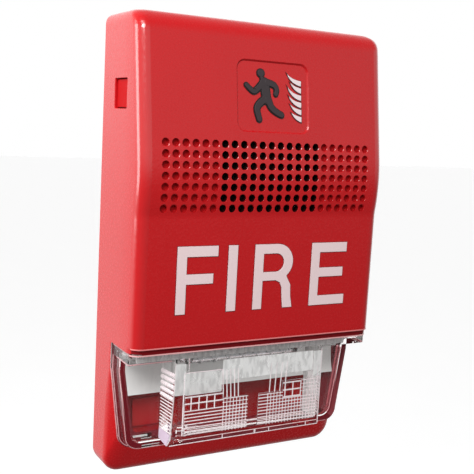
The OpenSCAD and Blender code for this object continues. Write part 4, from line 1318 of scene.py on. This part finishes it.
REFLECTOR_LOW, REFLECTOR_HIGH = mm_box("reflector")
REFLECTOR_D = 11.4
REFLECTOR_R = 5.6
REFLECTOR_T = 0.7
LEAD_HOLE_R = 1.0
TUBE_Z = -26.5


def reflector_curve(inset):
    """(depth, z) up the trough's section, which ends in a quarter round behind the tube."""
    back = REFLECTOR_D + inset
    r = REFLECTOR_R - inset
    points = [(back + 1.2, REFLECTOR_LOW[2]), (back + 0.35, -33), (back, -30)]
    return points + arc(REFLECTOR_D + REFLECTOR_R, TUBE_Z, r, 180, 90, 15)


def make_reflector():
    """A bright trough with holes for the tube's leads."""
    half_w = REFLECTOR_HIGH[0]
    section = reflector_curve(0) + reflector_curve(REFLECTOR_T)[::-1]
    trough = loft([[at(x, d, z) for d, z in section] for x in (-half_w, half_w)])
    reflector = solid("reflector_detailed", trough)
    hole = [(REFLECTOR_D - 2, LEAD_HOLE_R), (REFLECTOR_D + 2.8, LEAD_HOLE_R)]
    holes = merge([lathe_y(side * LEAD_X, TUBE_Z, hole) for side in (-1, 1)])
    cut(reflector, solid("lead_holes", holes))
    place(reflector, "reflector_metal", "head", 40, ["reflector"])


make_reflector()

# ---- the CAD pieces that show as they are


def dress_cad_nodes():
    """Gives every CAD node that still shows its slot's look and smooth faces."""
    replaced = {"front_cover", "fire_letters", "icon_figure", "icon_bars", "lens", "reflector"}
    slots = {row["node"]: row["material_slot"] for row in frame["record"]["subparts"]}
    for name, obj in NODES.items():
        if name in replaced:
            continue
        obj.data.materials.clear()
        obj.data.materials.append(MATERIALS[slots[name]])
        for polygon in obj.data.polygons:
            polygon.use_smooth = True
        obj.data.set_sharp_from_angle(angle=math.radians(30))


dress_cad_nodes()

# ---- floor, light and world


FLOOR_HALF = 6000
FLOOR_DROP = 260
FLOOR_GLOW = 0.35


def make_floor():
    """A plain pale floor well below the object, seen by the camera only."""
    material, tree, shader = new_material("floor_pale")
    patch = noise(tree, 60.0, 3.0)
    wire(tree, shader, {"Roughness": 0.9, "Specular IOR Level": 0.1,
                        "Emission Color": (1, 1, 1, 1), "Emission Strength": FLOOR_GLOW},
         {"Base Color": colour_mix(tree, patch, (0.93, 0.93, 0.93), (0.96, 0.96, 0.96))})
    corners = [(sx * FLOOR_HALF, sy * FLOOR_HALF, BOTTOM_Z - FLOOR_DROP)
               for sx, sy in ((-1, -1), (1, -1), (1, 1), (-1, 1))]
    floor = to_object("floor", corners, [(0, 1, 2, 3)])
    floor.data.materials.append(material)
    bpy.context.scene.collection.objects.link(floor)
    floor.visible_diffuse = False
    floor.visible_glossy = False


# the surroundings' strength on each side, and the share of it that is left above and below
FRONT_LIGHT = 0.15
BACK_LIGHT = 1.0
TOP_LIGHT = 0.6
BELOW_SHARE = 0.75
OVERHEAD_SHARE = 0.35


def make_world():
    """Soft white surroundings, plain white to the camera."""
    world = bpy.data.worlds.new("studio")
    bpy.context.scene.world = world
    world.use_nodes = True
    tree = world.node_tree
    tree.nodes.clear()
    coords = new_node(tree, "TexCoord").outputs["Generated"]
    split = new_node(tree, "SeparateXYZ", links={"Vector": coords}).outputs
    # bright behind the object and dim on the viewer's side, with more from above
    behind = spread(tree, split["Y"], FRONT_LIGHT, BACK_LIGHT, -0.25, 0.35)
    above = spread(tree, split["Z"], 0.0, TOP_LIGHT, -0.12, 0.12)
    # dimmer straight overhead and straight below
    overhead = spread(tree, split["Z"], 1.0, OVERHEAD_SHARE, 0.3, 0.75)
    below = spread(tree, split["Z"], BELOW_SHARE, 1.0, -0.55, -0.3)
    level = math_node(tree, "MULTIPLY", math_node(tree, "ADD", behind, above),
                      math_node(tree, "MULTIPLY", overhead, below))
    white = (1, 1, 1, 1)
    soft = new_node(tree, "Background", {"Color": white}, {"Strength": level})
    plain = new_node(tree, "Background", {"Color": white, "Strength": 1.0})
    path = new_node(tree, "LightPath")
    mix = new_node(tree, "MixShader", links={"Fac": path.outputs["Is Camera Ray"],
                                             1: soft.outputs["Background"],
                                             2: plain.outputs["Background"]})
    new_node(tree, "OutputWorld", links={"Surface": mix.outputs["Shader"]})


def area_light(name, position, target, size, power):
    data = bpy.data.lights.new(name, "AREA")
    data.shape = "RECTANGLE"
    data.size, data.size_y = size
    data.energy = power
    light = bpy.data.objects.new(name, data)
    light.location = position
    direction = Vector(target) - Vector(position)
    light.rotation_euler = direction.to_track_quat("-Z", "Y").to_euler()
    bpy.context.scene.collection.objects.link(light)


def make_lights():
    """A key light from the upper left, and a broad one beyond the left side. Metres and watts."""
    centre = (0, -0.01, 0.0)
    area_light("key", (-0.22, -0.26, 0.27), centre, (0.16, 0.16), 1.3)
    area_light("left_strip", (-0.5, 0.1, 0.11), centre, (0.24, 0.34), 1.1)


make_floor()
make_world()
make_lights()
bpy.context.scene.view_settings.view_transform = "Standard"

bpy.context.view_layer.update()
